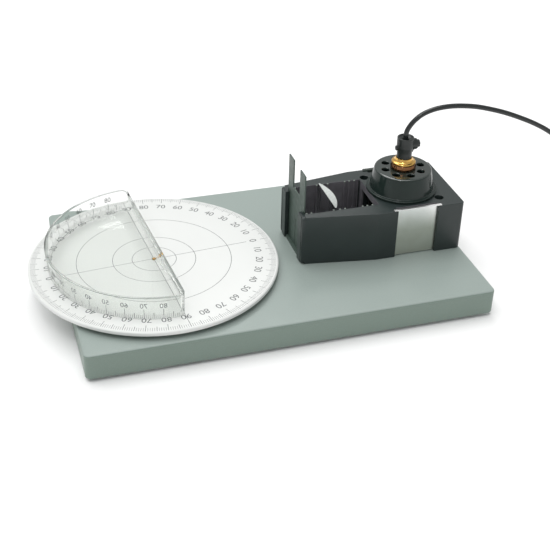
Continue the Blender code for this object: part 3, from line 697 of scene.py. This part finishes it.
def make_studio():
    camera = bpy.data.objects.new("camera", bpy.data.cameras.new("camera"))
    camera.data.lens, camera.data.sensor_width = CAMERA_LENS, SENSOR
    camera.data.clip_end = 50.0
    camera.location = Vector(CAMERA_PLACE) * MM
    camera.rotation_euler = Euler([math.radians(angle) for angle in CAMERA_ANGLES])
    bpy.context.collection.objects.link(camera)
    bpy.context.scene.camera = camera
    bpy.context.scene.view_settings.view_transform = "Standard"

    bm = bmesh.new()
    bmesh.ops.create_grid(bm, x_segments=1, y_segments=1, size=12.0)
    mesh = bpy.data.meshes.new("floor")
    bm.to_mesh(mesh)
    bm.free()
    floor = bpy.data.objects.new("floor", mesh)
    paper = Surface("floor_paper", (0.92, 0.92, 0.92), 0.7)
    paper.tone(paper.noise(300.0), 0.995, 1.0)
    mesh.materials.append(paper.material)
    floor.location.z = -0.0002
    bpy.context.collection.objects.link(floor)

    world = bpy.data.worlds.new("studio")
    bpy.context.scene.world = world
    world.use_nodes = True
    world.node_tree.nodes["Background"].inputs["Color"].default_value = (1.0, 1.0, 1.0, 1.0)
    world.node_tree.nodes["Background"].inputs["Strength"].default_value = 0.58
    add_light("SUN", "key", 1.85, (-10.0, -12.0, 0.0), angle=math.radians(60))
    add_light("AREA", "glint_left", 1.8, (32.0, -18.0, 0.0), (-300.0, -700.0, 1200.0), size=0.16)
    add_light("AREA", "glint_back", 3.0, (-38.0, 0.0, 0.0), (330.0, 1000.0, 1300.0), size=0.35)


def add_light(kind, name, energy, angles, place=(0, 0, 2000), **settings):
    light = bpy.data.lights.new(name, kind)
    light.energy = energy
    for setting, value in settings.items():
        setattr(light, setting, value)
    obj = bpy.data.objects.new(name, light)
    obj.location = Vector(place) * MM
    obj.rotation_euler = Euler([math.radians(angle) for angle in angles])
    bpy.context.collection.objects.link(obj)


# Printed scales ----------------------------------


def stroke(bm, start, end, width):
    """A flat printed line between two points of the plane."""
    start, end = Vector(start), Vector(end)
    side = (end - start).normalized().orthogonal() * width / 2
    points = (start - side, end - side, end + side, start + side)
    bm.faces.new([bm.verts.new((*point, 0.0)) for point in points])


def polar(radius, angle):
    return radius * math.cos(math.radians(angle)), radius * math.sin(math.radians(angle))


def printed_circle(bm, radius, width, steps=180):
    rings = []
    for edge in (radius - width / 2, radius + width / 2):
        rings.append([bm.verts.new((*point, 0.0)) for point in arc((0, 0), edge, 0, 360, steps)[:-1]])
    for index in range(steps):
        after = (index + 1) % steps
        bm.faces.new((rings[0][index], rings[1][index], rings[1][after], rings[0][after]))


def numeral(text, height):
    """A number as flat faces, centred on the origin, its digits this high."""
    curve = bpy.data.curves.new("numeral", "FONT")
    curve.body = text
    obj = bpy.data.objects.new("numeral", curve)
    bpy.context.collection.objects.link(obj)
    bm = evaluated_shape(obj)
    bpy.data.objects.remove(obj)
    bpy.data.curves.remove(curve)
    low = [min(vert.co[axis] for vert in bm.verts) for axis in (0, 1)]
    high = [max(vert.co[axis] for vert in bm.verts) for axis in (0, 1)]
    moved(bm, -(low[0] + high[0]) / 2, -(low[1] + high[1]) / 2)
    size = height / (high[1] - low[1])
    bmesh.ops.scale(bm, vec=(size, size, size), verts=bm.verts)
    return bm


def add_to(whole, part):
    """Adds one bmesh to another."""
    mesh = bpy.data.meshes.new("part")
    part.to_mesh(mesh)
    part.free()
    whole.from_mesh(mesh)
    bpy.data.meshes.remove(mesh)


def quarter_value(angle):
    """What the scale says at an angle: 0 on the long axis, 90 across it."""
    return min(angle % 180, 180 - angle % 180)


def make_disc_print(ink):
    bm = bmesh.new()
    for radius in SCALE_CIRCLES:
        printed_circle(bm, radius, STROKE)
    for way in (-1, 1):
        stroke(bm, (0.0, 0.0), (way * ZERO_LINE, 0.0), STROKE)
        stroke(bm, (0.0, 0.0), (0.0, way * NINETY_LINE), STROKE)
    for angle in range(360):
        inner = SCALE_TEN if angle % 10 == 0 else SCALE_FIVE if angle % 5 == 0 else SCALE_ONE
        stroke(bm, polar(inner, angle), polar(SCALE_OUTER, angle), FINE_STROKE if angle % 5 else STROKE)
    for angle in range(0, 360, 10):
        label = tilted(numeral(str(quarter_value(angle)), NUMERAL_HEIGHT), angle - 90, "Z")
        x, y = polar(NUMERAL_MIDDLE, angle)
        add_to(bm, moved(label, x, y))
    place = (PIVOT.x, 0.0, disc_high.z + INK_PROUD)
    piece("disc_print", bm, "turntable", ink, at=place, turn=DISC_TURN)


def make_disc(mats):
    thick = disc_high.z - disc_low.z
    profile = (
        (DISC_HOLE, 0.0, 0.0), (DISC_RADIUS - 0.5, 0.0, 0.4), (DISC_RADIUS, 0.6, 0.4),
        (DISC_RADIUS, thick - 0.9, 0.4), (DISC_RADIUS - 1.2, thick, 0.4), (DISC_HOLE + 0.4, thick, 0.2),
        (DISC_HOLE, thick - 0.4, 0.2),
    )
    shape = turned(rounded(profile, 0.3), 256, closed=True)
    place = (PIVOT.x, 0.0, disc_low.z)
    node = ("protractor_disc",)
    piece("disc", shape, "turntable", mats["white"], node, at=place, turn=DISC_TURN)
    make_disc_print(mats["ink"])


# Trough ------------------------------------------


def trough_outline(inset, height):
    """The trough's plan, drawn in by an inset and flared by its height."""
    radius, face, corner = TROUGH_RADIUS - inset, TROUGH_FACE - inset, TROUGH_CORNER - inset
    across_x = face - corner
    across_y = math.sqrt((radius - corner) ** 2 - across_x**2)
    meet = math.degrees(math.atan2(across_y, across_x))
    upper = arc((across_x, across_y), corner, 0.0, meet, 8)
    round_side = arc((0.0, 0.0), radius, meet, 360.0 - meet, 112)[1:-1]
    lower = arc((across_x, -across_y), corner, -meet, 0.0, 8)
    flare = 1 + (TROUGH_RIM_RADIUS / TROUGH_RADIUS - 1) * height / TROUGH_HEIGHT
    return [(x * flare, y * flare) for x, y in upper + round_side + lower]


def on_trough_wall(bm, middle):
    """Bends flat print, its Y going up, onto the outside of the round wall, to be read from inside."""
    for vert in bm.verts:
        flare = 1 + (TROUGH_RIM_RADIUS / TROUGH_RADIUS - 1) * vert.co.y / TROUGH_HEIGHT
        radius = TROUGH_RADIUS * flare + INK_PROUD
        angle = math.radians(middle) - vert.co.x / TROUGH_RADIUS
        vert.co = (radius * math.cos(angle), radius * math.sin(angle), vert.co.y)
    return bm


def make_trough(mats):
    levels = [(trough_outline(inset, height), height) for height, inset in TROUGH_OUTSIDE + TROUGH_INSIDE]
    shape = carved(lofted(levels), ("DIFFERENCE", cylinder(2.6, -1.0, 1.3)))
    # Painted light and shade: slanted faces at the rim and the foot take the grey rim material.
    for face in shape.faces:
        face.normal_update()
        height = face.calc_center_median().z
        slanted = 0.1 < abs(face.normal.z) < 0.95
        if slanted and (height > TROUGH_HEIGHT - 0.8 or height < 0.3):
            face.material_index = 1
    place = (PIVOT.x, 0.0, trough_low.z)
    mats_used, node = [mats["clear"], mats["rim_light_and_shade"]], ("refraction_trough",)
    piece("trough", shape, "trough", mats_used, node, at=place, turn=DISC_TURN)
    make_trough_print(mats["ink"], place)


def make_trough_print(ink, place):
    bm = bmesh.new()
    for mark in range(-88, 89):
        middle = 180 + mark * TROUGH_SCALE_STEP
        high = TICK_TEN if mark % 10 == 0 else TICK_FIVE if mark % 5 == 0 else TICK_ONE
        tick = bmesh.new()
        stroke(tick, (0.0, TICK_FOOT), (0.0, high), FINE_STROKE if mark % 5 else STROKE)
        add_to(bm, on_trough_wall(tick, middle))
        if mark % 10 == 0:
            label = moved(numeral(str(abs(mark)), WALL_NUMERAL_HEIGHT), 0.0, WALL_NUMERAL_MIDDLE)
            add_to(bm, on_trough_wall(label, middle))
    piece("trough_print", bm, "trough", ink, at=place, turn=DISC_TURN)


# Board and feet ----------------------------------


def make_board(mats):
    def outline(inset):
        x = (board_low.x + inset, board_high.x - inset)
        y = (board_low.y + inset, board_high.y - inset)
        return rounded_box(x, y, BOARD_CORNER - inset, 12)

    low, high = board_low.z, board_high.z
    soft = rounded_edge(BOARD_EDGE)
    foot = [(low + rise, inset) for inset, rise in soft]
    head = [(high - rise, inset) for inset, rise in reversed(soft)]
    seams = []
    for seam in (low + SEAM + 1.6, high - SEAM - 1.6):
        seams += [(seam - 0.08, 0.0), (seam, 0.14), (seam + 0.08, 0.0)]
    levels = [(outline(inset), height) for height, inset in foot + seams + head]
    shape = carved(
        lofted(levels),
        ("DIFFERENCE", moved(cylinder(NUT_RECESS, low - 1.0, low + NUT_RECESS_DEEP, 64), PIVOT.x)),
        ("DIFFERENCE", moved(cylinder(BUSH_BORE, low + NUT_RECESS_DEEP - 1.0, high + 1.0, 64), PIVOT.x)),
    )
    # Painted shade: the board's sides take the darker copy of the laminate.
    for face in shape.faces:
        face.normal_update()
        if abs(face.normal.z) < 0.5:
            face.material_index = 1
    mats_used = [mats["laminate"], mats["side_shade"]]
    piece("board", shape, "stand", mats_used, ("base_board",), smooth=25)


def cross_recess(depth_from, depth_to, reach, width):
    """The cross cut of a screw's head."""
    return [
        ("DIFFERENCE", block((-reach, reach), (-width, width), (depth_from, depth_to))),
        ("DIFFERENCE", block((-width, width), (-reach, reach), (depth_from, depth_to))),
    ]


def make_feet(mats):
    foot_profile = (
        (2.1, 1.5), (4.4, 1.5), (4.4, 0.0, 0.2), (8.3, 0.0, 0.5), (9.0, 0.9, 0.5), (9.0, 2.2, 0.2),
        (8.8, 2.5), (2.1, 2.5),
    )
    screw_profile = (
        (0.0, 0.35), (2.6, 0.4, 0.5), (3.8, 1.1, 0.2), (3.7, 1.2), (1.8, 1.2), (1.8, 13.5), (0.0, 14.3),
    )
    for number in range(1, 5):
        foot_node, screw_node = f"rubber_foot_{number}", f"foot_screw_{number}"
        low, high = corners(foot_node)
        place = ((low.x + high.x) / 2, (low.y + high.y) / 2, 0.0)
        foot = turned(rounded(foot_profile, 0.0), 64, closed=True)
        piece(f"foot_{number}", foot, "stand", mats["rubber"], (foot_node,), at=place)
        blank = turned(rounded(screw_profile, 0.0, closed=False), 48)
        screw = carved(blank, *cross_recess(0.0, 0.9, 1.9, 0.4))
        name, turn = f"foot_fixing_{number}", 31 * number
        piece(name, screw, "stand", mats["steel"], (screw_node,), at=place, turn=turn)


def make_pivot(mats):
    foot, top = (corner.z for corner in corners("pivot_stud"))
    stud = (
        (0.0, foot), (1.6, foot, 0.3), (2.0, foot + 0.6), (2.0, top - 0.7, 0.5), (1.2, top, 0.4), (0.0, top),
    )
    place = (PIVOT.x, 0.0, 0.0)
    pin = turned(rounded(stud, 0.0, closed=False), 48)
    piece("stud", pin, "turntable", mats["brass"], ("pivot_stud",), at=place)
    low, high = (corner.z for corner in corners("pivot_nut"))
    chamfered = ((0.0, low), (5.7, low), (7.4, low + 1.0), (7.4, high - 1.0), (5.7, high), (0.0, high))
    chamfer, bore = turned(chamfered, 64), cylinder(2.3, low - 1, high + 1)
    nut = carved(cylinder(6.4, low, high, 6), ("INTERSECT", chamfer), ("DIFFERENCE", bore))
    piece("nut", nut, "turntable", mats["brass"], ("pivot_nut",), at=place)


# Ray box -----------------------------------------


def make_ray_box(mats):
    bm = node_shape("ray_box_body")
    top, front, rear = box_high.z, box_low.x + FLANGE_DEEP, box_high.x - BOX_WALL
    wells = [sum(corners(f"box_screw_{number}"), Vector()) / 2 for number in (1, 2)]
    for face in bm.faces:
        middle = face.calc_center_median()
        in_lens_hall = front < middle.x < LAMP.x - LAMP_HALL_REACH + 1.5 and abs(middle.y) < HALL_HALF + 0.2
        in_lamp_hall = LAMP.x - LAMP_HALL_REACH < middle.x < rear and abs(middle.y) < WINDOW_HALF
        on_post = any(math.hypot(middle.x - well.x, middle.y - well.y) < POST_REACH for well in wells)
        # Painted shade: faces inside the lens and lamp halls take the shaded inside material.
        if middle.z < top - 0.2 and (in_lens_hall or in_lamp_hall) and not on_post:
            face.material_index = 1
    mats_used = [mats["moulding"], mats["inside"]]
    piece("ray_box", bm, "stand", mats_used, ("ray_box_body",), edges=0.4)
    make_rib_ends(mats["rib_highlights"])
    make_box_screws(mats["steel"])


def make_rib_ends(mat):
    top = box_high.z
    # Pale caps on the rib ends, a painted highlight for the light that catches them.
    rib_highlights = bmesh.new()
    for rib in RIBS:
        for side in (-1, 1):
            y = sorted((side * (HALL_HALF - RIB_PROUD - 0.1), side * HALL_HALF))
            add_to(rib_highlights, block((rib + 0.2, rib + RIB_WIDE - 0.2), y, (top - 1.2, top + 0.06)))
    board_middle = (box_low.x + box_high.x) / 2 - (BOX_FRONT + BOX_REAR) / 2
    piece("rib_end_highlights", rib_highlights, "stand", mat, at=(board_middle, 0.0, 0.0), edges=0.15)


def make_box_screws(mat):
    foot = box_high.z - WELL_DEEP + 0.3
    profile = (
        (0.0, -1.0), (1.8, -1.0), (1.8, 0.0), (4.1, 0.0), (4.1, 1.6, 0.5), (3.0, 2.5, 0.6), (0.0, 2.6),
    )
    for number in (1, 2):
        node = f"box_screw_{number}"
        low, high = corners(node)
        place = ((low.x + high.x) / 2, (low.y + high.y) / 2, foot)
        screw = carved(turned(rounded(profile, 0.0, closed=False), 48), *cross_recess(1.2, 3.0, 2.2, 0.45))
        turn = 17 + 40 * number
        piece(f"box_fixing_{number}", screw, "stand", mat, (node,), at=place, turn=turn)


def make_plates(mats):
    shape = node_shape("slit_plate")
    piece("plate", shape, "slit", mats["plate"], ("slit_plate",), edges=0.22)
    sides = (("near", -1, "aluminium", "aluminium"), ("far", 1, "far_plate", "plate_plastic"))
    for name, way, mat, slot in sides:
        node = f"side_shutter_{name}"
        low, high = corners(node)
        inner, outer = sorted((abs(low.y), abs(high.y)))
        face, lip, end = inner + SHEET, high.z - LIP_THICK, outer - LIP_TRIM
        section = (
            (inner, low.z, 0.1), (face, low.z, 0.1), (face, lip, 0.5), (end, lip, 0.2), (end, high.z, 0.2),
            (inner, high.z, 1.3),
        )
        outline = [(way * y, z) for y, z in rounded(section, 0.0, 6)]
        sheet = across(outline, low.x, high.x)
        piece(f"shutter_{name}", sheet, f"shutter_{name}", mats[mat], (node,), edges=0.12)


def make_lens(mats):
    half = lens_high.y
    depth = LENS_DEPTH - LENS_EDGE
    radius = (half**2 + depth**2) / (2 * depth)
    reach = math.degrees(math.asin(half / radius))
    curved = arc((lens_low.x + LENS_DEPTH - radius, 0.0), radius, -reach, reach, 64)
    outline = [(lens_low.x, half), (lens_low.x, -half)] + curved
    bm = prism(outline, lens_low.z, lens_high.z)
    for face in bm.faces:
        face.normal_update()
        if abs(face.normal.z) > 0.9:
            face.material_index = 1
    mats_used = [mats["glass"], mats["ground"]]
    piece("lens", bm, "lens", mats_used, ("cylindrical_lens",), edges=0.25)


# Lamp housing ------------------------------------


def make_cap(mats):
    profile = (
        (CAP_SPIGOT, SPIGOT_FOOT, 0.4), (CAP_SPIGOT, CAP_FOOT), (CAP_FLANGE, CAP_FOOT, 0.5),
        (CAP_FLANGE, CAP_FOOT + 2.4, 1.0), (CAP_LOW, CAP_FOOT + 2.5, 1.2), (CAP_HIGH, CAP_TOP, 2.2),
        (CAP_HOLE, CAP_TOP, 0.3), (CAP_HOLE, CAP_TOP - 2.4, 0.3), (27.2, CAP_TOP - 2.4, 0.8),
        (30.8, CAP_FOOT + 4.0), (28.3, CAP_FOOT + 2.0), (28.3, SPIGOT_FOOT, 0.4),
    )
    steps = []
    for index in range(VENT_COUNT):
        x, y = polar(VENT_CIRCLE, VENT_PHASE + 360 * index / VENT_COUNT)
        bore = ((0.0, CAP_TOP - 4.0), (VENT_RADIUS, CAP_TOP - 4.0), (VENT_RADIUS, CAP_TOP - 0.45))
        wide = VENT_RADIUS + 0.5
        mouth = ((wide, CAP_TOP + 0.05), (wide, CAP_TOP + 1.0), (0.0, CAP_TOP + 1.0))
        steps.append(("DIFFERENCE", moved(turned(bore + mouth, 40), x, y)))
    cap = carved(turned(rounded(profile, 0.0, 6), 144, closed=True), *steps)
    for face in cap.faces:
        face.normal_update()
        face.material_index = int(face.normal.z > 0.5 and face.calc_center_median().z > CAP_TOP - 2.0)
    mats_used = [mats["cap"], mats["cap_top"]]
    piece("cap", cap, "lamp_house", mats_used, ("lamp_cap",), smooth=28, at=LAMP)


def make_rings(mats):
    lower = (
        (CAP_HOLE, 78.3), (12.7, 78.3, 0.3), (13.1, 78.8, 0.3), (13.1, 80.6, 0.5), (12.7, 82.4, 1.0),
        (12.5, 83.5, 0.3), (12.2, 83.9, 0.2), (CAP_HOLE, 83.9),
    )
    upper = (
        (CAP_HOLE, 84.2), (12.1, 84.2, 0.2), (12.3, 84.5, 0.2), (12.3, 85.5, 0.4), (11.9, 86.0, 0.5),
        (10.2, 86.5, 2.0), (9.1, 87.9, 2.0), (8.6, 90.0, 0.2), (8.0, 90.0), (8.0, 85.9), (CAP_HOLE, 85.9),
    )
    for name, profile, mat in (("lower", lower, "dark_brass"), ("upper", upper, "brass")):
        shape = turned(rounded(profile, 0.0, 6), 128, closed=True)
        piece(f"ring_{name}", shape, "lamp_house", mats[mat], (f"shade_ring_{name}",), at=LAMP)


def make_grip(mats):
    foot, top = grip_low.z - BOARD_TOP, grip_high.z - BOARD_TOP
    mouth_foot = top - 4.2
    profile = (
        (0.0, foot), (GRIP_NECK, foot, 0.4), (GRIP_NECK, 95.6, 3.0), (8.1, 98.6, 3.0),
        (GRIP_RADIUS, 101.6, 3.0), (GRIP_RADIUS, top, 0.5), (7.3, top, 0.2), (GRIP_MOUTH, top - 1.0, 0.5),
        (3.8, top - 2.0, 0.5), (GRIP_THROAT, top - 2.6, 0.3), (GRIP_THROAT, mouth_foot), (0.0, mouth_foot),
    )
    boss_profile = (
        (0.0, 6.0), (BOSS_RADIUS, 6.0), (BOSS_RADIUS, BOSS_REACH - 1.6), (4.9, BOSS_REACH), (0.0, BOSS_REACH),
    )
    boss = moved(tilted(turned(boss_profile, 48), 90, "Y"), z=BOSS_Z)
    reach = GRIP_RADIUS + 1.8
    bump_profile = ((0.0, 6.0), (2.6, 6.0), (2.6, reach - 0.6), (1.8, reach), (0.0, reach))
    bump = moved(tilted(turned(bump_profile, 32), -90, "Y"), z=BUMP_Z)
    web_outline = (
        (6.0, BOSS_Z), (9.9, BOSS_Z), (9.9, BOSS_Z - 5.2), (9.2, 97.8), (8.4, 96.0), (7.2, 94.2), (6.0, 93.6),
    )
    web = tilted(prism(web_outline, -2.4, 2.4), 90, "X")
    bore = moved(tilted(cylinder(1.9, 5.6, BOSS_REACH + 1.0, 32), 90, "Y"), z=BOSS_Z)
    shape = carved(
        turned(rounded(profile, 0.0, 5, closed=False), 72),
        ("UNION", boss), ("UNION", bump), ("UNION", web), ("DIFFERENCE", bore),
    )
    piece("grip", shape, "lamp_house", mats["black"], ("cord_grip",), at=LAMP, edges=0.3)
    make_clamp(mats)


def make_clamp(mats):
    start = BOSS_REACH + 0.3
    profile = (
        (0.0, 6.0), (CLAMP_SHAFT, 6.0), (CLAMP_SHAFT, start), (CLAMP_HEAD, start, 0.2),
        (CLAMP_HEAD, CLAMP_REACH - 0.2, 0.4), (3.2, CLAMP_REACH, 0.3), (0.0, CLAMP_REACH),
    )
    steps = [("DIFFERENCE", block((-0.5, 0.5), (-6.0, 6.0), (CLAMP_REACH - 1.1, CLAMP_REACH + 1.0)))]
    for index in range(CLAMP_GROOVES):
        x, y = polar(CLAMP_HEAD + 0.2, 360 / CLAMP_GROOVES * index + 10)
        steps.append(("DIFFERENCE", moved(cylinder(0.4, start - 0.5, CLAMP_REACH + 0.5, 10), x, y)))
    knob = carved(turned(rounded(profile, 0.0, closed=False), 72), *steps)
    place = LAMP + Vector((0.0, 0.0, BOSS_Z))
    piece("clamp", tilted(knob, 90, "Y"), "clamp", mats["black"], ("clamp_screw",), at=place)


def make_bulb(mats):
    spread = math.degrees(math.asin(BULB_NECK / BULB_RADIUS))
    ball = [
        [(max(x, 0.0), z) for x, z in arc((0.0, BULB_MIDDLE), radius, -90, 90 - spread, 28)]
        for radius in (BULB_RADIUS, BULB_RADIUS - BULB_WALL)
    ]
    inner_neck = BULB_NECK - BULB_WALL
    neck = [(BULB_NECK, 43.5), (BULB_NECK, BULB_TOP), (inner_neck, BULB_TOP), (inner_neck, 43.0)]
    shape = turned(ball[0] + neck + ball[1][::-1], 64)
    piece("bulb", shape, "lamp_house", mats["bulb"], ("bulb_glass",), at=LAMP)
    make_filament(mats["steel"])


def make_filament(mat):
    """One support down, the upright coil, and the other support back up."""
    steps = 150
    coil = []
    for step in range(steps + 1):
        x, y = FILAMENT_COIL * math.cos(step / 2), FILAMENT_COIL * math.sin(step / 2)
        coil.append((x, y, FILAMENT_TOP - FILAMENT_HIGH * step / steps))
    down = [(-3.0, 0.0, 49.2), (-3.0, 0.0, 38.0), (-2.2, 0.0, 36.0), (-0.8, 0.0, 34.6)]
    back = [(0.8, 0.0, 23.4), (1.8, 0.0, 22.4), (2.8, 0.0, 23.4), (3.0, 0.0, 25.5), (3.0, 0.0, 49.2)]
    points = [Vector(point) + LAMP for point in down + coil + back]
    tube("filament", points, FILAMENT_RADIUS, "lamp_house", mat, ("bulb_filament",))


# Lead and plug -----------------------------------


def stepped(angle, steps):
    """A value that changes smoothly between the levels of its steps, each (start, end, level)."""
    value = steps[0][2]
    for start, end, level in steps[1:]:
        t = min(max((angle - start) / (end - start), 0.0), 1.0)
        value += (level - value) * t * t * (3 - 2 * t)
    return value


def coil_turns():
    """Four and a quarter turns, two side by side in each layer, from the lowest outer one to the top."""
    low, middle, high = COIL_LAYERS
    lay = ((0, 0, COIL_LAY), (300, 360, COIL_LAY_INNER), (900, 960, COIL_LAY))
    level = ((0, 0, low), (600, 660, middle), (1200, 1260, high))
    turns = []
    for angle in range(0, 1531, 15):
        x, y = polar(stepped(angle, lay), angle - 90)
        turns.append(COIL + Vector((x, y, stepped(angle, level))))
    return turns


def make_lead(mats):
    route = smooth_route(LEAD_ROUTE) + coil_turns() + smooth_route(TAIL_ROUTE)
    points = smooth_route(route, 2)
    nodes = ("cord_lead", "cord_coil", "cord_tail")
    lead = tube("lead", points, CORD_RADIUS, "stand", mats["sheath"], nodes)
    plug = make_plug(mats)
    tie = make_tie(mats)


def make_tie(mats):
    low, high = corners("cord_tie")
    half, strap = (high.y - low.y) / 2, 0.8
    outer = rounded_box((-half, half), (low.z, high.z), 2.0)
    inner = rounded_box((-half + strap, half - strap), (low.z + strap, high.z - strap), 1.3)
    band = carved(across(outer, low.x, high.x), ("DIFFERENCE", across(inner, low.x - 1, high.x + 1)))
    place = (0.0, (low.y + high.y) / 2, 0.0)
    return piece("tie", band, "stand", mats["webbing"], ("cord_tie",), at=place, edges=0.15)


def make_plug(mats):
    half_z, end = PLUG_THICK / 2, PLUG_NECK + PLUG_LENGTH
    waisted = (
        (-PLUG_HALF, PLUG_NECK, 5.0), (PLUG_HALF, PLUG_NECK, 5.0), (PLUG_HALF, end - 8.0, 3.0),
        (PLUG_HALF - 1.2, end - 6.5, 1.0), (PLUG_HALF - 1.2, end, 2.0), (-PLUG_HALF + 1.2, end, 2.0),
        (-PLUG_HALF + 1.2, end - 6.5, 1.0), (-PLUG_HALF, end - 8.0, 3.0),
    )
    plan = rounded(waisted, 0.0, 6)
    middle_y = (PLUG_NECK + end) / 2

    def drawn_in(inset):
        shrink_x, shrink_y = 1 - inset / PLUG_HALF, 1 - 2 * inset / PLUG_LENGTH
        return [(x * shrink_x, middle_y + (y - middle_y) * shrink_y) for x, y in plan]

    edge = rounded_edge(PLUG_EDGE)
    lower = [(drawn_in(inset), -half_z + rise) for inset, rise in edge]
    upper = [(drawn_in(inset), half_z - rise) for inset, rise in reversed(edge)]
    steps = [("UNION", tilted(turned(neck_profile(), 48), -90, "X"))]
    for x in (-PIN_SPACING / 2, PIN_SPACING / 2):
        bore = tilted(cylinder(PIN_RADIUS + 0.3, end - 8.0, end + 1.0, 32), -90, "X")
        steps.append(("DIFFERENCE", moved(bore, x)))
    for side in (-1, 1):
        depth = sorted((side * (half_z - 0.5), side * (half_z + 1.0)))
        for index in range(5):
            y = PLUG_NECK + 5.0 + 2.6 * index
            steps.append(("DIFFERENCE", block((-7.0, 7.0), (y - 0.5, y + 0.5), depth)))
    body = carved(lofted(lower + upper), *steps)
    plug = piece("plug", body, "stand", mats["black"], ("plug_body",), at=PLUG, edges=0.15)
    return [plug] + make_pins(mats["brass"], end)


def make_pins(mat, start):
    profile = (
        (0.0, -7.5), (PIN_RADIUS, -7.5), (PIN_RADIUS, PIN_LENGTH - 0.6, 0.8), (0.9, PIN_LENGTH, 0.5),
        (0.0, PIN_LENGTH),
    )
    pins = []
    for number, way in enumerate((-1, 1), 1):
        pin = tilted(turned(rounded(profile, 0.0, closed=False), 32), -90, "X")
        place = PLUG + Vector((way * PIN_SPACING / 2, start, 0.0))
        pins.append(piece(f"pin_{number}", pin, "stand", mat, (f"plug_pin_{number}",), at=place))
    return pins


def neck_profile():
    """The plug's strain relief, a cone with rings round it."""
    profile = [(0.0, 0.0), (3.4, 0.0), (3.5, 0.6)]
    for index in range(4):
        y = 1.4 + 2.5 * index
        radius = 3.7 + 0.35 * index
        profile += [(radius, y), (radius - 0.7, y + 0.3), (radius - 0.7, y + 1.1), (radius + 0.2, y + 1.4)]
    return profile + [(5.2, PLUG_NECK), (5.2, PLUG_NECK + 2.0), (0.0, PLUG_NECK + 2.0)]


def paint_nodes(mats):
    """CAD nodes that keep their own shape get their finished material."""
    slots = {
        "laminate": "laminate", "foot_rubber": "rubber", "steel": "steel", "brass": "brass",
        "white_plastic": "white", "clear_plastic": "clear", "dark_moulding": "moulding",
        "plate_plastic": "plate", "lens_glass": "glass", "aluminium": "aluminium", "insulator": "core",
        "bulb_glass": "bulb", "black_plastic": "black", "cord_rubber": "sheath",
    }
    for row in frame["record"]["subparts"]:
        node = frame["nodes"][row["node"]]
        node.data.materials.clear()
        node.data.materials.append(mats[slots[row["material_slot"]]])


def main():
    make_studio()
    mats = make_materials()
    paint_nodes(mats)
    make_lead(mats)
    make_board(mats)
    make_feet(mats)
    make_pivot(mats)
    make_disc(mats)
    make_trough(mats)
    make_ray_box(mats)
    make_plates(mats)
    make_lens(mats)
    make_cap(mats)
    make_rings(mats)
    make_grip(mats)
    make_bulb(mats)


main()
